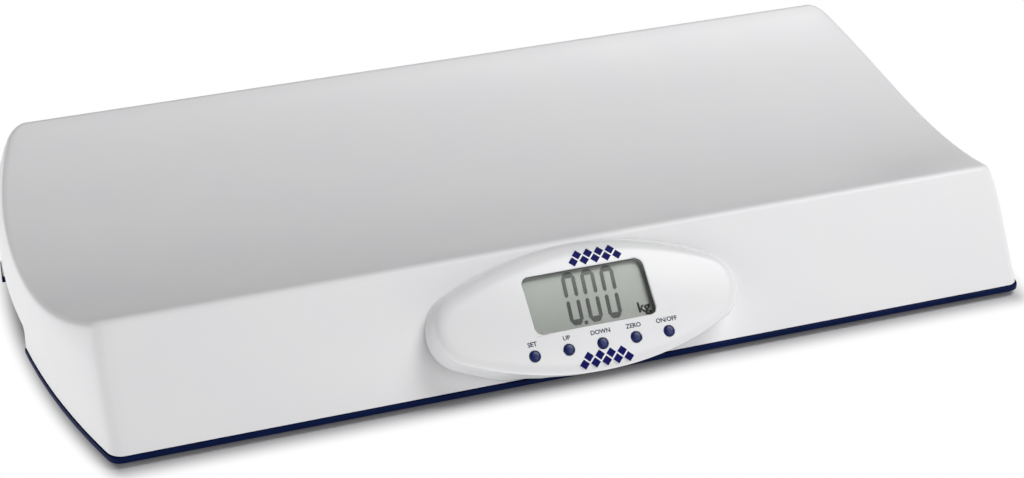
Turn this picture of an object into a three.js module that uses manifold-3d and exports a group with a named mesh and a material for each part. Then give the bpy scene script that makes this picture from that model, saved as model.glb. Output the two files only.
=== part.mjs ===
// Digital baby weighing scale: a moulded trough over a shallow base that stands on four load cells,
// with an oval display pod, five push buttons and a battery compartment underneath.
// Millimetres, +Z up, origin at the centre of the footprint on the floor. The front faces -Y.

import * as THREE from 'three';
import { mergeVertices } from 'three/addons/utils/BufferGeometryUtils.js';
import Module from 'manifold-3d';

const wasm = await Module();
wasm.setup();

// Fits shared by all pieces
const CLEARANCE = 0.3;
const CUT_OVERRUN = 4;
const SMALLEST_DETAIL = 0.01;

// Housing: the plan outline, with bowed ends
const WIDEST_HALF_LENGTH = 279.3;
const END_BOW_RADIUS = 603;
const HOUSING_DEPTH = 248;
const END_BOW_CENTRE_SHARE = 0.5444;
const PLAN_CORNER_RADIUS = 6;

// Housing: heights and the lean of its walls
const GROUND_CLEARANCE = 2.9;
const STRIP_HEIGHT = 3.3;
const STRIP_PROUD = 0.7;
const SEAM_GAP = 0.5;
const FRONT_LIP_HEIGHT = 67;
const FRONT_LIP_SETBACK = 36.3;
const BACK_WALL_LEAN = 4.7;
const BACK_RIM_HEIGHT = 93;
const END_CURL_START_Z = 43;
const END_CURL_INSET = 14.4;
const SHELL_WALL = 3;

// Trough
const TROUGH_RADIUS = 210;
const TROUGH_CENTRE_SHARE = 0.4718;
const TROUGH_FLOOR_Z = 50.9;
const FRONT_LIP_RADIUS = 4.5;
const BACK_RIM_RADIUS = 2;

// Grip recesses in both ends
const GRIP_FRONT_SHARE = 0.5403;
const GRIP_LENGTH_SHARE = 0.3589;
const GRIP_TOP_Z = 18.4;
const GRIP_DEPTH = 26;
const GRIP_CORNER_RADIUS = 5;
const GRIP_WALL = 2;
const GRIP_NOTCH_REACH = 12;

// Base
const RIM_TOP_Z = 11;
const RIM_WALL = 2;
const RIM_FIT = 0.6;

// Load cells and feet
const FOOT_END_INSET = 53.3;
const FOOT_FRONT_Y = 36;
const FOOT_BACK_INSET = 35;
const FOOT_RADIUS = 15;
const FOOT_FLANGE_RADIUS = 18;
const FOOT_FLANGE_THICKNESS = 1.8;
const FOOT_POST_RADIUS = 5;
const FOOT_TRAVEL_GAP = 0.5;
const PAD_RADIUS = 12;
const PAD_THICKNESS = 1.4;
const CELL_SIDE = 42;
const CELL_THICKNESS = 2;
const CELL_UNDERSIDE_Z = 11;
const CELL_SLOT_WIDTH = 2.5;
const CELL_TONGUE_WIDTH = 15;
const CELL_TONGUE_LENGTH = 24;
const CELL_PIN_RADIUS = 1.2;
const CELL_PIN_INSET = 4;
const CELL_PIN_HEAD = 1.2;
const CELL_RING_WALL = 3.5;

// Housing screws
const SCREW_OUTER_SHARE = 0.537;
const SCREW_MIDDLE_SHARE = 0.215;
const SCREW_FRONT_Y = 50;
const SCREW_OUTER_BACK_INSET = 26;
const SCREW_MIDDLE_BACK_INSET = 22;
const SCREW_SHANK_RADIUS = 1.7;
const SCREW_HEAD_RADIUS = 3.4;
const SCREW_HEAD_HEIGHT = 2.4;
const SCREW_LENGTH = 14;
const SCREW_SHOULDER_Z = 17;
const SCREW_SHOULDER_THICKNESS = 3;
const POST_WALL = 2;
const HEAD_FIT = 0.6;

// Display pod: its face plane is set by the centre of the window
const FACE_CENTRE_Y = 5.3;
const FACE_CENTRE_Z = 46.8;
const FACE_TILT = 44.5 * Math.PI / 180;
const POD_HALF_LENGTH = 87;
const POD_HALF_HEIGHT = 35.3;
const POD_TIP_RADIUS = 8;
const POD_DROP = 6;
const POD_CROWN = 3;
const POD_EDGE_DROP = 2;
const POD_FLARE = 4.5;
const POD_FLARE_HEIGHT = 11;
const POD_REACH = 60;
const POD_FLOOR_Z = 8;
const POD_WALL = 2.5;
const POD_FLANGE = 4;
const NECK_INSET = 4;
const NECK_WALL = 2.5;
const NECK_REACH = 7.5;
const NECK_FLOOR_Z = 13;

// Window and reading
const WINDOW_WIDTH_SHARE = 0.8092;
const WINDOW_HEIGHT = 33.1;
const WINDOW_CORNER_RADIUS = 4.5;
const PANE_MARGIN = 2.6;
const PANE_THICKNESS = 1.2;
const PANE_POCKET_LEVEL = -2.2;
const LCD_MARGIN = 1.6;
const LCD_THICKNESS = 2.8;
const LCD_FRAME_WALL = 2.6;
const LCD_LEDGE = 3.6;
const CONNECTOR_SHARE = 0.852;
const CONNECTOR_WIDTH = 2.4;
const BOARD_LEVEL = -10.5;
const BOARD_THICKNESS = 1.6;
const BOARD_WIDTH_SHARE = 0.5287;
const BOARD_TOP_V = 20;
const BOARD_BOTTOM_V = -31;
const CHIP_SIDE = 12;
const CHIP_THICKNESS = 1.5;
const CHIP_V = -8;

// Buttons
const BUTTON_PITCH_SHARE = 0.223;
const BUTTON_V = -27.1;
const BUTTON_RADIUS = 2.9;
const BUTTON_PROUD = 1;
const BUTTON_DOME = 0.5;
const BUTTON_FLANGE_RADIUS = 4;
const BUTTON_FLANGE_THICKNESS = 1;
const BUTTON_STEM_RADIUS = 1.6;
const BUTTON_STROKE_GAP = 0.95;
const SWITCH_SIDE = 4.4;
const SWITCH_HEIGHT = 2.6;

// Display screws, driven from inside through the front wall
const DISPLAY_SCREW_SHARE = 0.7586;
const DISPLAY_SCREW_INSET = 0.4;
const DISPLAY_SCREW_RADIUS = 1.1;
const DISPLAY_SCREW_BITE = 3.6;
const DISPLAY_SCREW_HEAD_RADIUS = 2.2;
const DISPLAY_SCREW_HEAD_HEIGHT = 1.6;

// Battery compartment
const CELL_COUNT = 4;
const BATTERY_RADIUS = 7.25;
const BATTERY_BODY_LENGTH = 49.2;
const BATTERY_NUB_RADIUS = 2.7;
const BATTERY_NUB_LENGTH = 1.3;
const BATTERY_PITCH = 15.1;
const CONTACT_THICKNESS = 0.5;
const CONTACT_WIDTH = 11;
const CONTACT_HEIGHT = 10;
const BOX_BACK_INSET = 70;
const BOX_WALL = 2;
const DOOR_THICKNESS = 2.3;
const DOOR_GAP = 0.5;
const HINGE_NOSE_RADIUS = 1.2;
const HINGE_PIN_RADIUS = 0.7;
const HINGE_PIN_LENGTH = 1.7;
const BATTERY_LIFT = 0.5;
const DOOR_NAIL_WIDTH = 16;
const DOOR_NAIL_DEPTH = 1;
const DOOR_NAIL_LENGTH = 4;

// Junction board and leads
const JUNCTION_WIDTH = 50;
const JUNCTION_DEPTH = 34;
const JUNCTION_THICKNESS = 1.6;
const JUNCTION_SHARE = 0.371;
const JUNCTION_UNDERSIDE_Z = 11;
const JUNCTION_POST_RADIUS = 3;
const LEAD_RADIUS = 1.1;
const DISPLAY_LEAD_RADIUS = 1.5;
const LEAD_STEPS = 14;
const LEAD_SIDES = 6;
const LEAD_TENSION = 0.12;

// Facet counts
const ROUND_SEGMENTS = 24;
const SMALL_SEGMENTS = 12;
const END_SEGMENTS = 12;
const TROUGH_SEGMENTS = 28;
const LEAN_STEPS = 8;

// Values worked out from the sizes above
const STRIP_TOP_Z = GROUND_CLEARANCE + STRIP_HEIGHT;
const SHELL_FOOT_Z = STRIP_TOP_Z + SEAM_GAP;
const TROUGH_CENTRE_Z = TROUGH_FLOOR_Z + TROUGH_RADIUS;
const FRONT_SLOPE = FRONT_LIP_SETBACK / (FRONT_LIP_HEIGHT - STRIP_TOP_Z);
const BACK_SLOPE = BACK_WALL_LEAN / (BACK_RIM_HEIGHT - STRIP_TOP_Z);
const FORM_TOP_Z = BACK_RIM_HEIGHT + FRONT_LIP_HEIGHT - TROUGH_FLOOR_Z;
const FAR = WIDEST_HALF_LENGTH + HOUSING_DEPTH;
const END_BOW_CENTRE_Y = HOUSING_DEPTH * END_BOW_CENTRE_SHARE;
const TROUGH_CENTRE_Y = HOUSING_DEPTH * TROUGH_CENTRE_SHARE;
const GRIP_LENGTH = HOUSING_DEPTH * GRIP_LENGTH_SHARE;
const GRIP_MIDDLE_Y = HOUSING_DEPTH * GRIP_FRONT_SHARE + GRIP_LENGTH / 2;
const FOOT_X = WIDEST_HALF_LENGTH - FOOT_END_INSET;
const FOOT_BACK_Y = HOUSING_DEPTH - FOOT_BACK_INSET;
const SCREW_X = WIDEST_HALF_LENGTH * SCREW_OUTER_SHARE;
const SCREW_MIDDLE_X = WIDEST_HALF_LENGTH * SCREW_MIDDLE_SHARE;
const SCREW_BACK_Y = HOUSING_DEPTH - SCREW_OUTER_BACK_INSET;
const SCREW_MIDDLE_Y = HOUSING_DEPTH - SCREW_MIDDLE_BACK_INSET;
const WINDOW_WIDTH = POD_HALF_LENGTH * WINDOW_WIDTH_SHARE;
const CONNECTOR_LENGTH = WINDOW_WIDTH * CONNECTOR_SHARE;
const BOARD_HALF_WIDTH = POD_HALF_LENGTH * BOARD_WIDTH_SHARE;
const BUTTON_PITCH = POD_HALF_LENGTH * BUTTON_PITCH_SHARE;
const DISPLAY_SCREW_X = POD_HALF_LENGTH * DISPLAY_SCREW_SHARE;
const BOX_CENTRE_Y = HOUSING_DEPTH - BOX_BACK_INSET;
const JUNCTION_Y = HOUSING_DEPTH * JUNCTION_SHARE;

const X_AXIS = new THREE.Vector3(1, 0, 0);
const Y_AXIS = new THREE.Vector3(0, 1, 0);
const Z_AXIS = new THREE.Vector3(0, 0, 1);

// Local frames: the front wall's outer face, and the pod's face
function frame(origin, up) {
  const normal = new THREE.Vector3().crossVectors(X_AXIS, up).normalize();
  return new THREE.Matrix4().makeBasis(X_AXIS, up.clone().normalize(), normal).setPosition(origin);
}
const WALL_UP = new THREE.Vector3(0, FRONT_SLOPE, 1).normalize();
const WALL_FRAME = frame(new THREE.Vector3(0, 0, STRIP_TOP_Z), WALL_UP);
const FACE_UP = new THREE.Vector3(0, Math.cos(FACE_TILT), Math.sin(FACE_TILT));
const FACE_FRAME = frame(new THREE.Vector3(0, FACE_CENTRE_Y, FACE_CENTRE_Z), FACE_UP);
const SECTION_FRAME = new THREE.Matrix4().makeBasis(Y_AXIS, Z_AXIS, X_AXIS);
const FACE_TO_WALL = WALL_FRAME.clone().invert().multiply(FACE_FRAME);
const POD_CENTRE = new THREE.Vector3(0, -POD_DROP, -POD_EDGE_DROP).applyMatrix4(FACE_TO_WALL);
const POD_WALL_HALF_HEIGHT = POD_HALF_HEIGHT * WALL_UP.dot(FACE_UP);

// Solids: three.js geometry in, joined and cut, geometry out
function solid(geometry, matrix) {
  const bare = geometry.clone();
  bare.deleteAttribute('normal');
  bare.deleteAttribute('uv');
  if (matrix) bare.applyMatrix4(matrix);
  const merged = mergeVertices(bare, SMALLEST_DETAIL / 30);
  return new wasm.Manifold(new wasm.Mesh({
    numProp: 3,
    vertProperties: merged.attributes.position.array,
    triVerts: new Uint32Array(merged.index.array),
  }));
}
function toGeometry(manifold) {
  const mesh = manifold.simplify(SMALLEST_DETAIL).getMesh();
  const geometry = new THREE.BufferGeometry();
  geometry.setAttribute('position', new THREE.BufferAttribute(mesh.vertProperties, mesh.numProp));
  geometry.setIndex(new THREE.BufferAttribute(mesh.triVerts, 1));
  geometry.computeVertexNormals();
  return geometry;
}
function join(...solids) {
  return solids.reduce((whole, next) => whole.add(next));
}
function cut(body, ...tools) {
  return tools.reduce((rest, tool) => rest.subtract(tool), body);
}

// A block between two corners
function block(low, high, matrix) {
  const size = high.map((value, axis) => value - low[axis]);
  const geometry = new THREE.BoxGeometry(...size);
  geometry.translate(...high.map((value, axis) => (value + low[axis]) / 2));
  return solid(geometry, matrix);
}
// A cylinder along local Z
function rod(radius, low, high, x, y, segments = SMALL_SEGMENTS, matrix = undefined) {
  const geometry = new THREE.CylinderGeometry(radius, radius, high - low, segments);
  geometry.rotateX(Math.PI / 2);
  geometry.translate(x, y, (low + high) / 2);
  return solid(geometry, matrix);
}
function prism(shape, low, high, matrix, steps = 1, curveSegments = 6) {
  const geometry = new THREE.ExtrudeGeometry(shape, {
    depth: high - low, steps, bevelEnabled: false, curveSegments,
  });
  geometry.translate(0, 0, low);
  return solid(geometry, matrix);
}
function turned(profile, segments, matrix) {
  const points = profile.map(([radius, height]) => new THREE.Vector2(radius, height));
  const geometry = new THREE.LatheGeometry(points, segments);
  geometry.rotateX(Math.PI / 2);
  return solid(geometry, matrix);
}
function roundedRectangle(width, height, radius) {
  const x = width / 2;
  const y = height / 2;
  const shape = new THREE.Shape();
  shape.moveTo(radius - x, -y);
  shape.lineTo(x - radius, -y);
  shape.absarc(x - radius, radius - y, radius, -Math.PI / 2, 0);
  shape.lineTo(x, y - radius);
  shape.absarc(x - radius, y - radius, radius, 0, Math.PI / 2);
  shape.lineTo(radius - x, y);
  shape.absarc(radius - x, y - radius, radius, Math.PI / 2, Math.PI);
  shape.lineTo(-x, radius - y);
  shape.absarc(radius - x, radius - y, radius, Math.PI, Math.PI * 1.5);
  return shape;
}

// Plan outline of the housing, drawn in by an inset
function endX(y, inset) {
  const bow = END_BOW_RADIUS - inset;
  return WIDEST_HALF_LENGTH - END_BOW_RADIUS + Math.sqrt(bow ** 2 - (y - END_BOW_CENTRE_Y) ** 2);
}
function planOutline(inset) {
  const front = inset;
  const back = HOUSING_DEPTH - inset;
  const corner = PLAN_CORNER_RADIUS;
  const shape = new THREE.Shape();
  const endPoint = (share) => {
    const y = front + corner + (back - front - 2 * corner) * share;
    return [endX(y, inset), y];
  };
  shape.moveTo(corner - endX(front, inset), front);
  shape.lineTo(endX(front, inset) - corner, front);
  shape.quadraticCurveTo(endX(front, inset), front, ...endPoint(0));
  for (let step = 1; step <= END_SEGMENTS; step += 1) {
    shape.lineTo(...endPoint(step / END_SEGMENTS));
  }
  shape.quadraticCurveTo(endX(back, inset), back, endX(back, inset) - corner, back);
  shape.lineTo(corner - endX(back, inset), back);
  const [x, y] = endPoint(1);
  shape.quadraticCurveTo(-endX(back, inset), back, -x, y);
  for (let step = END_SEGMENTS - 1; step >= 0; step -= 1) {
    const [sideX, sideY] = endPoint(step / END_SEGMENTS);
    shape.lineTo(-sideX, sideY);
  }
  shape.quadraticCurveTo(-endX(front, inset), front, corner - endX(front, inset), front);
  return shape;
}

// The housing's walls lean in with height: a straight slope in front and a curl at the ends
function leanIn(geometry) {
  const points = geometry.attributes.position;
  for (let index = 0; index < points.count; index += 1) {
    const z = points.getZ(index);
    const rise = z - STRIP_TOP_Z;
    const curlRise = Math.max(z - END_CURL_START_Z, 0) / (BACK_RIM_HEIGHT - END_CURL_START_Z);
    const curl = END_CURL_INSET * curlRise ** 2;
    const backShare = points.getY(index) / HOUSING_DEPTH;
    points.setX(index, points.getX(index) * (1 - curl / WIDEST_HALF_LENGTH));
    points.setY(index, points.getY(index) + rise * (FRONT_SLOPE * (1 - backShare) - BACK_SLOPE * backShare));
  }
  return geometry;
}
function housingForm(inset, lowZ, highZ, steps) {
  const geometry = new THREE.ExtrudeGeometry(planOutline(inset), {
    depth: highZ - lowZ, steps, bevelEnabled: false, curveSegments: 4,
  });
  geometry.translate(0, 0, lowZ);
  return solid(leanIn(geometry));
}

// Trough: the space above the tray, with a rolled lip in front and a small rim behind
function rollCentre(wallY, slope, radius, side) {
  const offset = wallY + side * radius * Math.sqrt(1 + slope ** 2) - TROUGH_CENTRE_Y;
  const a = 1 + slope ** 2;
  const b = slope * offset - TROUGH_CENTRE_Z;
  const c = offset ** 2 + TROUGH_CENTRE_Z ** 2 - (TROUGH_RADIUS + radius) ** 2;
  const z = (-b - Math.sqrt(b ** 2 - a * c)) / a;
  return [offset + TROUGH_CENTRE_Y + slope * z, z];
}
function troughSpace() {
  const frontFoot = -FRONT_SLOPE * STRIP_TOP_Z;
  const backFoot = HOUSING_DEPTH + BACK_SLOPE * STRIP_TOP_Z;
  const [lipY, lipZ] = rollCentre(frontFoot, FRONT_SLOPE, FRONT_LIP_RADIUS, 1);
  const [rimY, rimZ] = rollCentre(backFoot, -BACK_SLOPE, BACK_RIM_RADIUS, -1);
  const wallTurn = Math.PI - Math.atan(FRONT_SLOPE);
  const rimTurn = Math.atan(BACK_SLOPE);
  const lipTurn = Math.atan2(TROUGH_CENTRE_Z - lipZ, TROUGH_CENTRE_Y - lipY);
  const backTurn = Math.atan2(TROUGH_CENTRE_Z - rimZ, TROUGH_CENTRE_Y - rimY);
  const wallZ = lipZ + FRONT_LIP_RADIUS * Math.sin(wallTurn);
  const backZ = rimZ + BACK_RIM_RADIUS * Math.sin(rimTurn);
  const shape = new THREE.Shape();
  shape.moveTo(-FAR, wallZ);
  shape.absarc(lipY, lipZ, FRONT_LIP_RADIUS, wallTurn, lipTurn, true);
  for (let step = 0; step <= TROUGH_SEGMENTS; step += 1) {
    const turn = Math.PI + lipTurn + (backTurn - lipTurn) * (step / TROUGH_SEGMENTS);
    shape.lineTo(
      TROUGH_CENTRE_Y + TROUGH_RADIUS * Math.cos(turn),
      TROUGH_CENTRE_Z + TROUGH_RADIUS * Math.sin(turn),
    );
  }
  shape.absarc(rimY, rimZ, BACK_RIM_RADIUS, backTurn, rimTurn, true);
  shape.lineTo(FAR, backZ);
  shape.lineTo(FAR, FAR);
  shape.lineTo(-FAR, FAR);
  return prism(shape, -FAR, FAR, SECTION_FRAME, 1, 4);
}
function spaceAboveLining() {
  const radius = TROUGH_RADIUS + SHELL_WALL;
  const shape = new THREE.Shape();
  shape.moveTo(0, FAR);
  for (let step = 0; step <= TROUGH_SEGMENTS; step += 1) {
    const y = HOUSING_DEPTH * (step / TROUGH_SEGMENTS);
    shape.lineTo(y, TROUGH_CENTRE_Z - Math.sqrt(radius ** 2 - (y - TROUGH_CENTRE_Y) ** 2));
  }
  shape.lineTo(HOUSING_DEPTH, FAR);
  return prism(shape, -FAR, FAR, SECTION_FRAME);
}
function liningZ(y) {
  return TROUGH_CENTRE_Z - Math.sqrt((TROUGH_RADIUS + SHELL_WALL) ** 2 - (y - TROUGH_CENTRE_Y) ** 2);
}

// Grip recess: the space for the fingers at one end
function gripSpace(inset, reach, lowZ, topZ, side) {
  const height = topZ - lowZ + GRIP_CORNER_RADIUS;
  const shape = roundedRectangle(GRIP_LENGTH - 2 * inset, height, GRIP_CORNER_RADIUS);
  const near = side > 0 ? WIDEST_HALF_LENGTH - reach : -FAR;
  const far = side > 0 ? FAR : reach - WIDEST_HALF_LENGTH;
  const place = SECTION_FRAME.clone().setPosition(0, GRIP_MIDDLE_Y, topZ - height / 2);
  return prism(shape, near, far, place, 1, 3);
}

// Places that repeat
const SIDES = [-1, 1];
const FOOT_PLACES = [
  [-FOOT_X, FOOT_FRONT_Y],
  [FOOT_X, FOOT_FRONT_Y],
  [-FOOT_X, FOOT_BACK_Y],
  [FOOT_X, FOOT_BACK_Y],
];
const SCREW_PLACES = [
  [-SCREW_X, SCREW_FRONT_Y],
  [SCREW_X, SCREW_FRONT_Y],
  [-SCREW_X, SCREW_BACK_Y],
  [SCREW_X, SCREW_BACK_Y],
  [-SCREW_MIDDLE_X, SCREW_MIDDLE_Y],
  [SCREW_MIDDLE_X, SCREW_MIDDLE_Y],
];

// Pod outline: two long arcs that meet in rounded tips, drawn in by an inset
function lens(inset, halfHeight = POD_WALL_HALF_HEIGHT) {
  const tipX = POD_HALF_LENGTH - POD_TIP_RADIUS;
  const reach = POD_HALF_LENGTH ** 2 - 2 * POD_HALF_LENGTH * POD_TIP_RADIUS + halfHeight ** 2;
  const radius = reach / (2 * (halfHeight - POD_TIP_RADIUS));
  const below = radius - halfHeight;
  const turn = Math.atan2(below, tipX);
  return { tipX, below, turn, long: radius - inset, tip: POD_TIP_RADIUS - inset };
}
function lensShape(inset) {
  const { tipX, below, turn, long, tip } = lens(inset);
  const shape = new THREE.Shape();
  shape.absarc(tipX, 0, tip, -turn, turn);
  shape.absarc(0, -below, long, turn, Math.PI - turn);
  shape.absarc(-tipX, 0, tip, Math.PI - turn, Math.PI + turn);
  shape.absarc(0, below, long, Math.PI + turn, 2 * Math.PI - turn);
  return shape;
}
function lensHalfHeight(x, inset) {
  const { below, long } = lens(inset);
  return Math.sqrt(long ** 2 - x ** 2) - below;
}
function lensPrism(inset, low, high) {
  return prism(lensShape(inset), low, high, podPlace(), 1, 9);
}
function podPlace() {
  return WALL_FRAME.clone().multiply(new THREE.Matrix4().makeTranslation(0, POD_CENTRE.y, 0));
}
function aboveLevel(z) {
  return block([-FAR, -FAR, z], [FAR, FAR, FAR]);
}
function flaredLens(low, high) {
  const geometry = new THREE.ExtrudeGeometry(lensShape(0), {
    depth: high - low, steps: 20, bevelEnabled: false, curveSegments: 9,
  });
  geometry.translate(0, 0, low);
  const points = geometry.attributes.position;
  for (let index = 0; index < points.count; index += 1) {
    const rise = Math.min(points.getZ(index) / POD_FLARE_HEIGHT, 1);
    const flare = POD_FLARE * (1 - rise) ** 2;
    points.setX(index, points.getX(index) * (1 + flare / POD_HALF_LENGTH));
    points.setY(index, points.getY(index) * (1 + flare / POD_WALL_HALF_HEIGHT));
  }
  return solid(geometry, podPlace());
}

// The pod's face is a shallow crown; everything below it, down to a depth well behind the pod
const CROWN_SHARES = [0, 0.2, 0.35, 0.5, 0.62, 0.74, 0.84, 0.93, 1, 1.2];
function crownLevel(share) {
  return POD_CROWN * (1 - share ** 2) - POD_EDGE_DROP;
}
function faceLevel(x, v) {
  return crownLevel(Math.hypot(x / POD_HALF_LENGTH, (v + POD_DROP) / POD_HALF_HEIGHT));
}
function belowFace(depth) {
  const rim = CROWN_SHARES[CROWN_SHARES.length - 1];
  const crown = CROWN_SHARES.map((share) => [share, crownLevel(share)]).reverse();
  const place = FACE_FRAME.clone()
    .multiply(new THREE.Matrix4().makeTranslation(0, -POD_DROP, -depth))
    .multiply(new THREE.Matrix4().makeScale(POD_HALF_LENGTH, POD_HALF_HEIGHT, 1));
  return turned([[0, -POD_REACH], [rim, -POD_REACH], ...crown], ROUND_SEGMENTS * 2, place);
}
function podRoom(slack) {
  const front = lensPrism(POD_WALL + slack, POD_FLANGE + slack, POD_REACH);
  const neck = lensPrism(NECK_INSET + NECK_WALL + slack, -POD_REACH, POD_FLANGE + slack + CUT_OVERRUN);
  const frontRoom = front.intersect(aboveLevel(POD_FLOOR_Z + POD_WALL + slack));
  const neckRoom = neck.intersect(aboveLevel(NECK_FLOOR_Z + NECK_WALL + slack));
  return frontRoom.add(neckRoom).intersect(belowFace(POD_WALL + slack));
}
function facePlace(x, v, level = 0) {
  return FACE_FRAME.clone().multiply(new THREE.Matrix4().makeTranslation(x, v, level));
}
// A rectangle centred on the window, between two levels of the face frame
function faceBlock(width, height, low, high) {
  return block([-width / 2, -height / 2, low], [width / 2, height / 2, high], FACE_FRAME);
}

const WALL_THICKNESS = SHELL_WALL / Math.sqrt(1 + FRONT_SLOPE ** 2);
const BUTTON_XS = [-2, -1, 0, 1, 2].map((place) => place * BUTTON_PITCH);
const DISPLAY_SCREW_PLACES = SIDES.flatMap((side) => SIDES.map((rise) => {
  const halfHeight = lensHalfHeight(DISPLAY_SCREW_X, DISPLAY_SCREW_INSET);
  return [side * DISPLAY_SCREW_X, POD_CENTRE.y + rise * halfHeight];
}));

// White housing
function trayShell() {
  const lining = housingForm(SHELL_WALL, SHELL_FOOT_Z - CUT_OVERRUN, FORM_TOP_Z, LEAN_STEPS)
    .subtract(spaceAboveLining());
  let shell = housingForm(0, SHELL_FOOT_Z, FORM_TOP_Z, LEAN_STEPS).subtract(lining);
  const postFoot = SCREW_SHOULDER_Z + SCREW_SHOULDER_THICKNESS + CLEARANCE;
  const boreRadius = SCREW_SHANK_RADIUS + CLEARANCE;
  const boreTop = SCREW_SHOULDER_Z + SCREW_LENGTH + CLEARANCE;
  for (const [x, y] of SCREW_PLACES) {
    shell = shell.add(rod(boreRadius + POST_WALL, postFoot, liningZ(y) + SHELL_WALL, x, y));
  }
  shell = shell.subtract(troughSpace());
  for (const [x, y] of SCREW_PLACES) {
    shell = shell.subtract(rod(boreRadius, postFoot - CUT_OVERRUN, boreTop, x, y));
  }
  for (const side of SIDES) {
    shell = shell.subtract(gripSpace(0, GRIP_NOTCH_REACH, 0, GRIP_TOP_Z, side));
  }
  for (const [x, up] of DISPLAY_SCREW_PLACES) {
    shell = shell.subtract(
      rod(DISPLAY_SCREW_RADIUS + CLEARANCE, -NECK_REACH, CUT_OVERRUN, x, up, SMALL_SEGMENTS, WALL_FRAME),
    );
  }
  const opening = lensPrism(NECK_INSET - CLEARANCE, -NECK_REACH, CUT_OVERRUN);
  return shell.subtract(opening.intersect(aboveLevel(NECK_FLOOR_Z - CLEARANCE)));
}

// Battery compartment sizes, shared by the base, the door and what lies inside
const BOX_HALF_X = CELL_COUNT * BATTERY_PITCH / 2 + CLEARANCE;
const BATTERY_HALF_LENGTH = (BATTERY_BODY_LENGTH + BATTERY_NUB_LENGTH) / 2;
const BOX_HALF_Y = BATTERY_HALF_LENGTH + CONTACT_THICKNESS + 2 * CLEARANCE;
const DOOR_TOP_Z = GROUND_CLEARANCE + DOOR_THICKNESS;
const BATTERY_Z = DOOR_TOP_Z + BATTERY_LIFT + BATTERY_RADIUS;
const BOX_ROOF_Z = BATTERY_Z + BATTERY_RADIUS + CLEARANCE;
const HINGE_Y = BOX_CENTRE_Y - BOX_HALF_Y + DOOR_GAP + HINGE_NOSE_RADIUS;
const HINGE_Z = GROUND_CLEARANCE + HINGE_NOSE_RADIUS;
const DOOR_HALF_X = BOX_HALF_X - DOOR_GAP;

// Load cell levels
const RING_TOP_Z = CELL_UNDERSIDE_Z - CLEARANCE;
const RING_BORE = FOOT_FLANGE_RADIUS + HEAD_FIT;
const CELL_PIN_OFFSET = CELL_SIDE / 2 - CELL_PIN_INSET;

// Navy base
function baseTray() {
  const plate = prism(planOutline(-STRIP_PROUD), GROUND_CLEARANCE, STRIP_TOP_Z, undefined, 1, 4);
  const insideShell = housingForm(SHELL_WALL + RIM_FIT, GROUND_CLEARANCE, GRIP_TOP_Z, 2);
  const rimFoot = STRIP_TOP_Z - STRIP_HEIGHT / 2;
  const rim = housingForm(SHELL_WALL + RIM_FIT, rimFoot, RIM_TOP_Z, 1)
    .subtract(housingForm(SHELL_WALL + RIM_FIT + RIM_WALL, rimFoot - CUT_OVERRUN, RIM_TOP_Z + CUT_OVERRUN, 1));
  let base = plate.add(rim);
  const pocketTop = GRIP_TOP_Z - CLEARANCE;
  for (const side of SIDES) {
    const walls = gripSpace(-GRIP_WALL, GRIP_DEPTH + GRIP_WALL, rimFoot, pocketTop, side)
      .intersect(insideShell).intersect(aboveLevel(rimFoot));
    base = base.add(walls);
  }
  for (const [x, y] of FOOT_PLACES) {
    base = base.add(rod(RING_BORE + CELL_RING_WALL, rimFoot, RING_TOP_Z, x, y, ROUND_SEGMENTS));
  }
  for (const [x, y] of SCREW_PLACES) {
    const radius = SCREW_HEAD_RADIUS + HEAD_FIT + POST_WALL;
    base = base.add(rod(radius, rimFoot, SCREW_SHOULDER_Z + SCREW_SHOULDER_THICKNESS, x, y));
  }
  for (const side of SIDES) {
    const x = side * (JUNCTION_WIDTH / 2 - 2 * JUNCTION_POST_RADIUS);
    base = base.add(rod(JUNCTION_POST_RADIUS, rimFoot, JUNCTION_UNDERSIDE_Z - CLEARANCE, x, JUNCTION_Y));
  }
  base = base.add(block(
    [-BOX_HALF_X - BOX_WALL, BOX_CENTRE_Y - BOX_HALF_Y - BOX_WALL, rimFoot],
    [BOX_HALF_X + BOX_WALL, BOX_CENTRE_Y + BOX_HALF_Y + BOX_WALL, BOX_ROOF_Z + BOX_WALL],
  ));
  return cutBase(base, pocketTop - GRIP_WALL);
}
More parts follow.
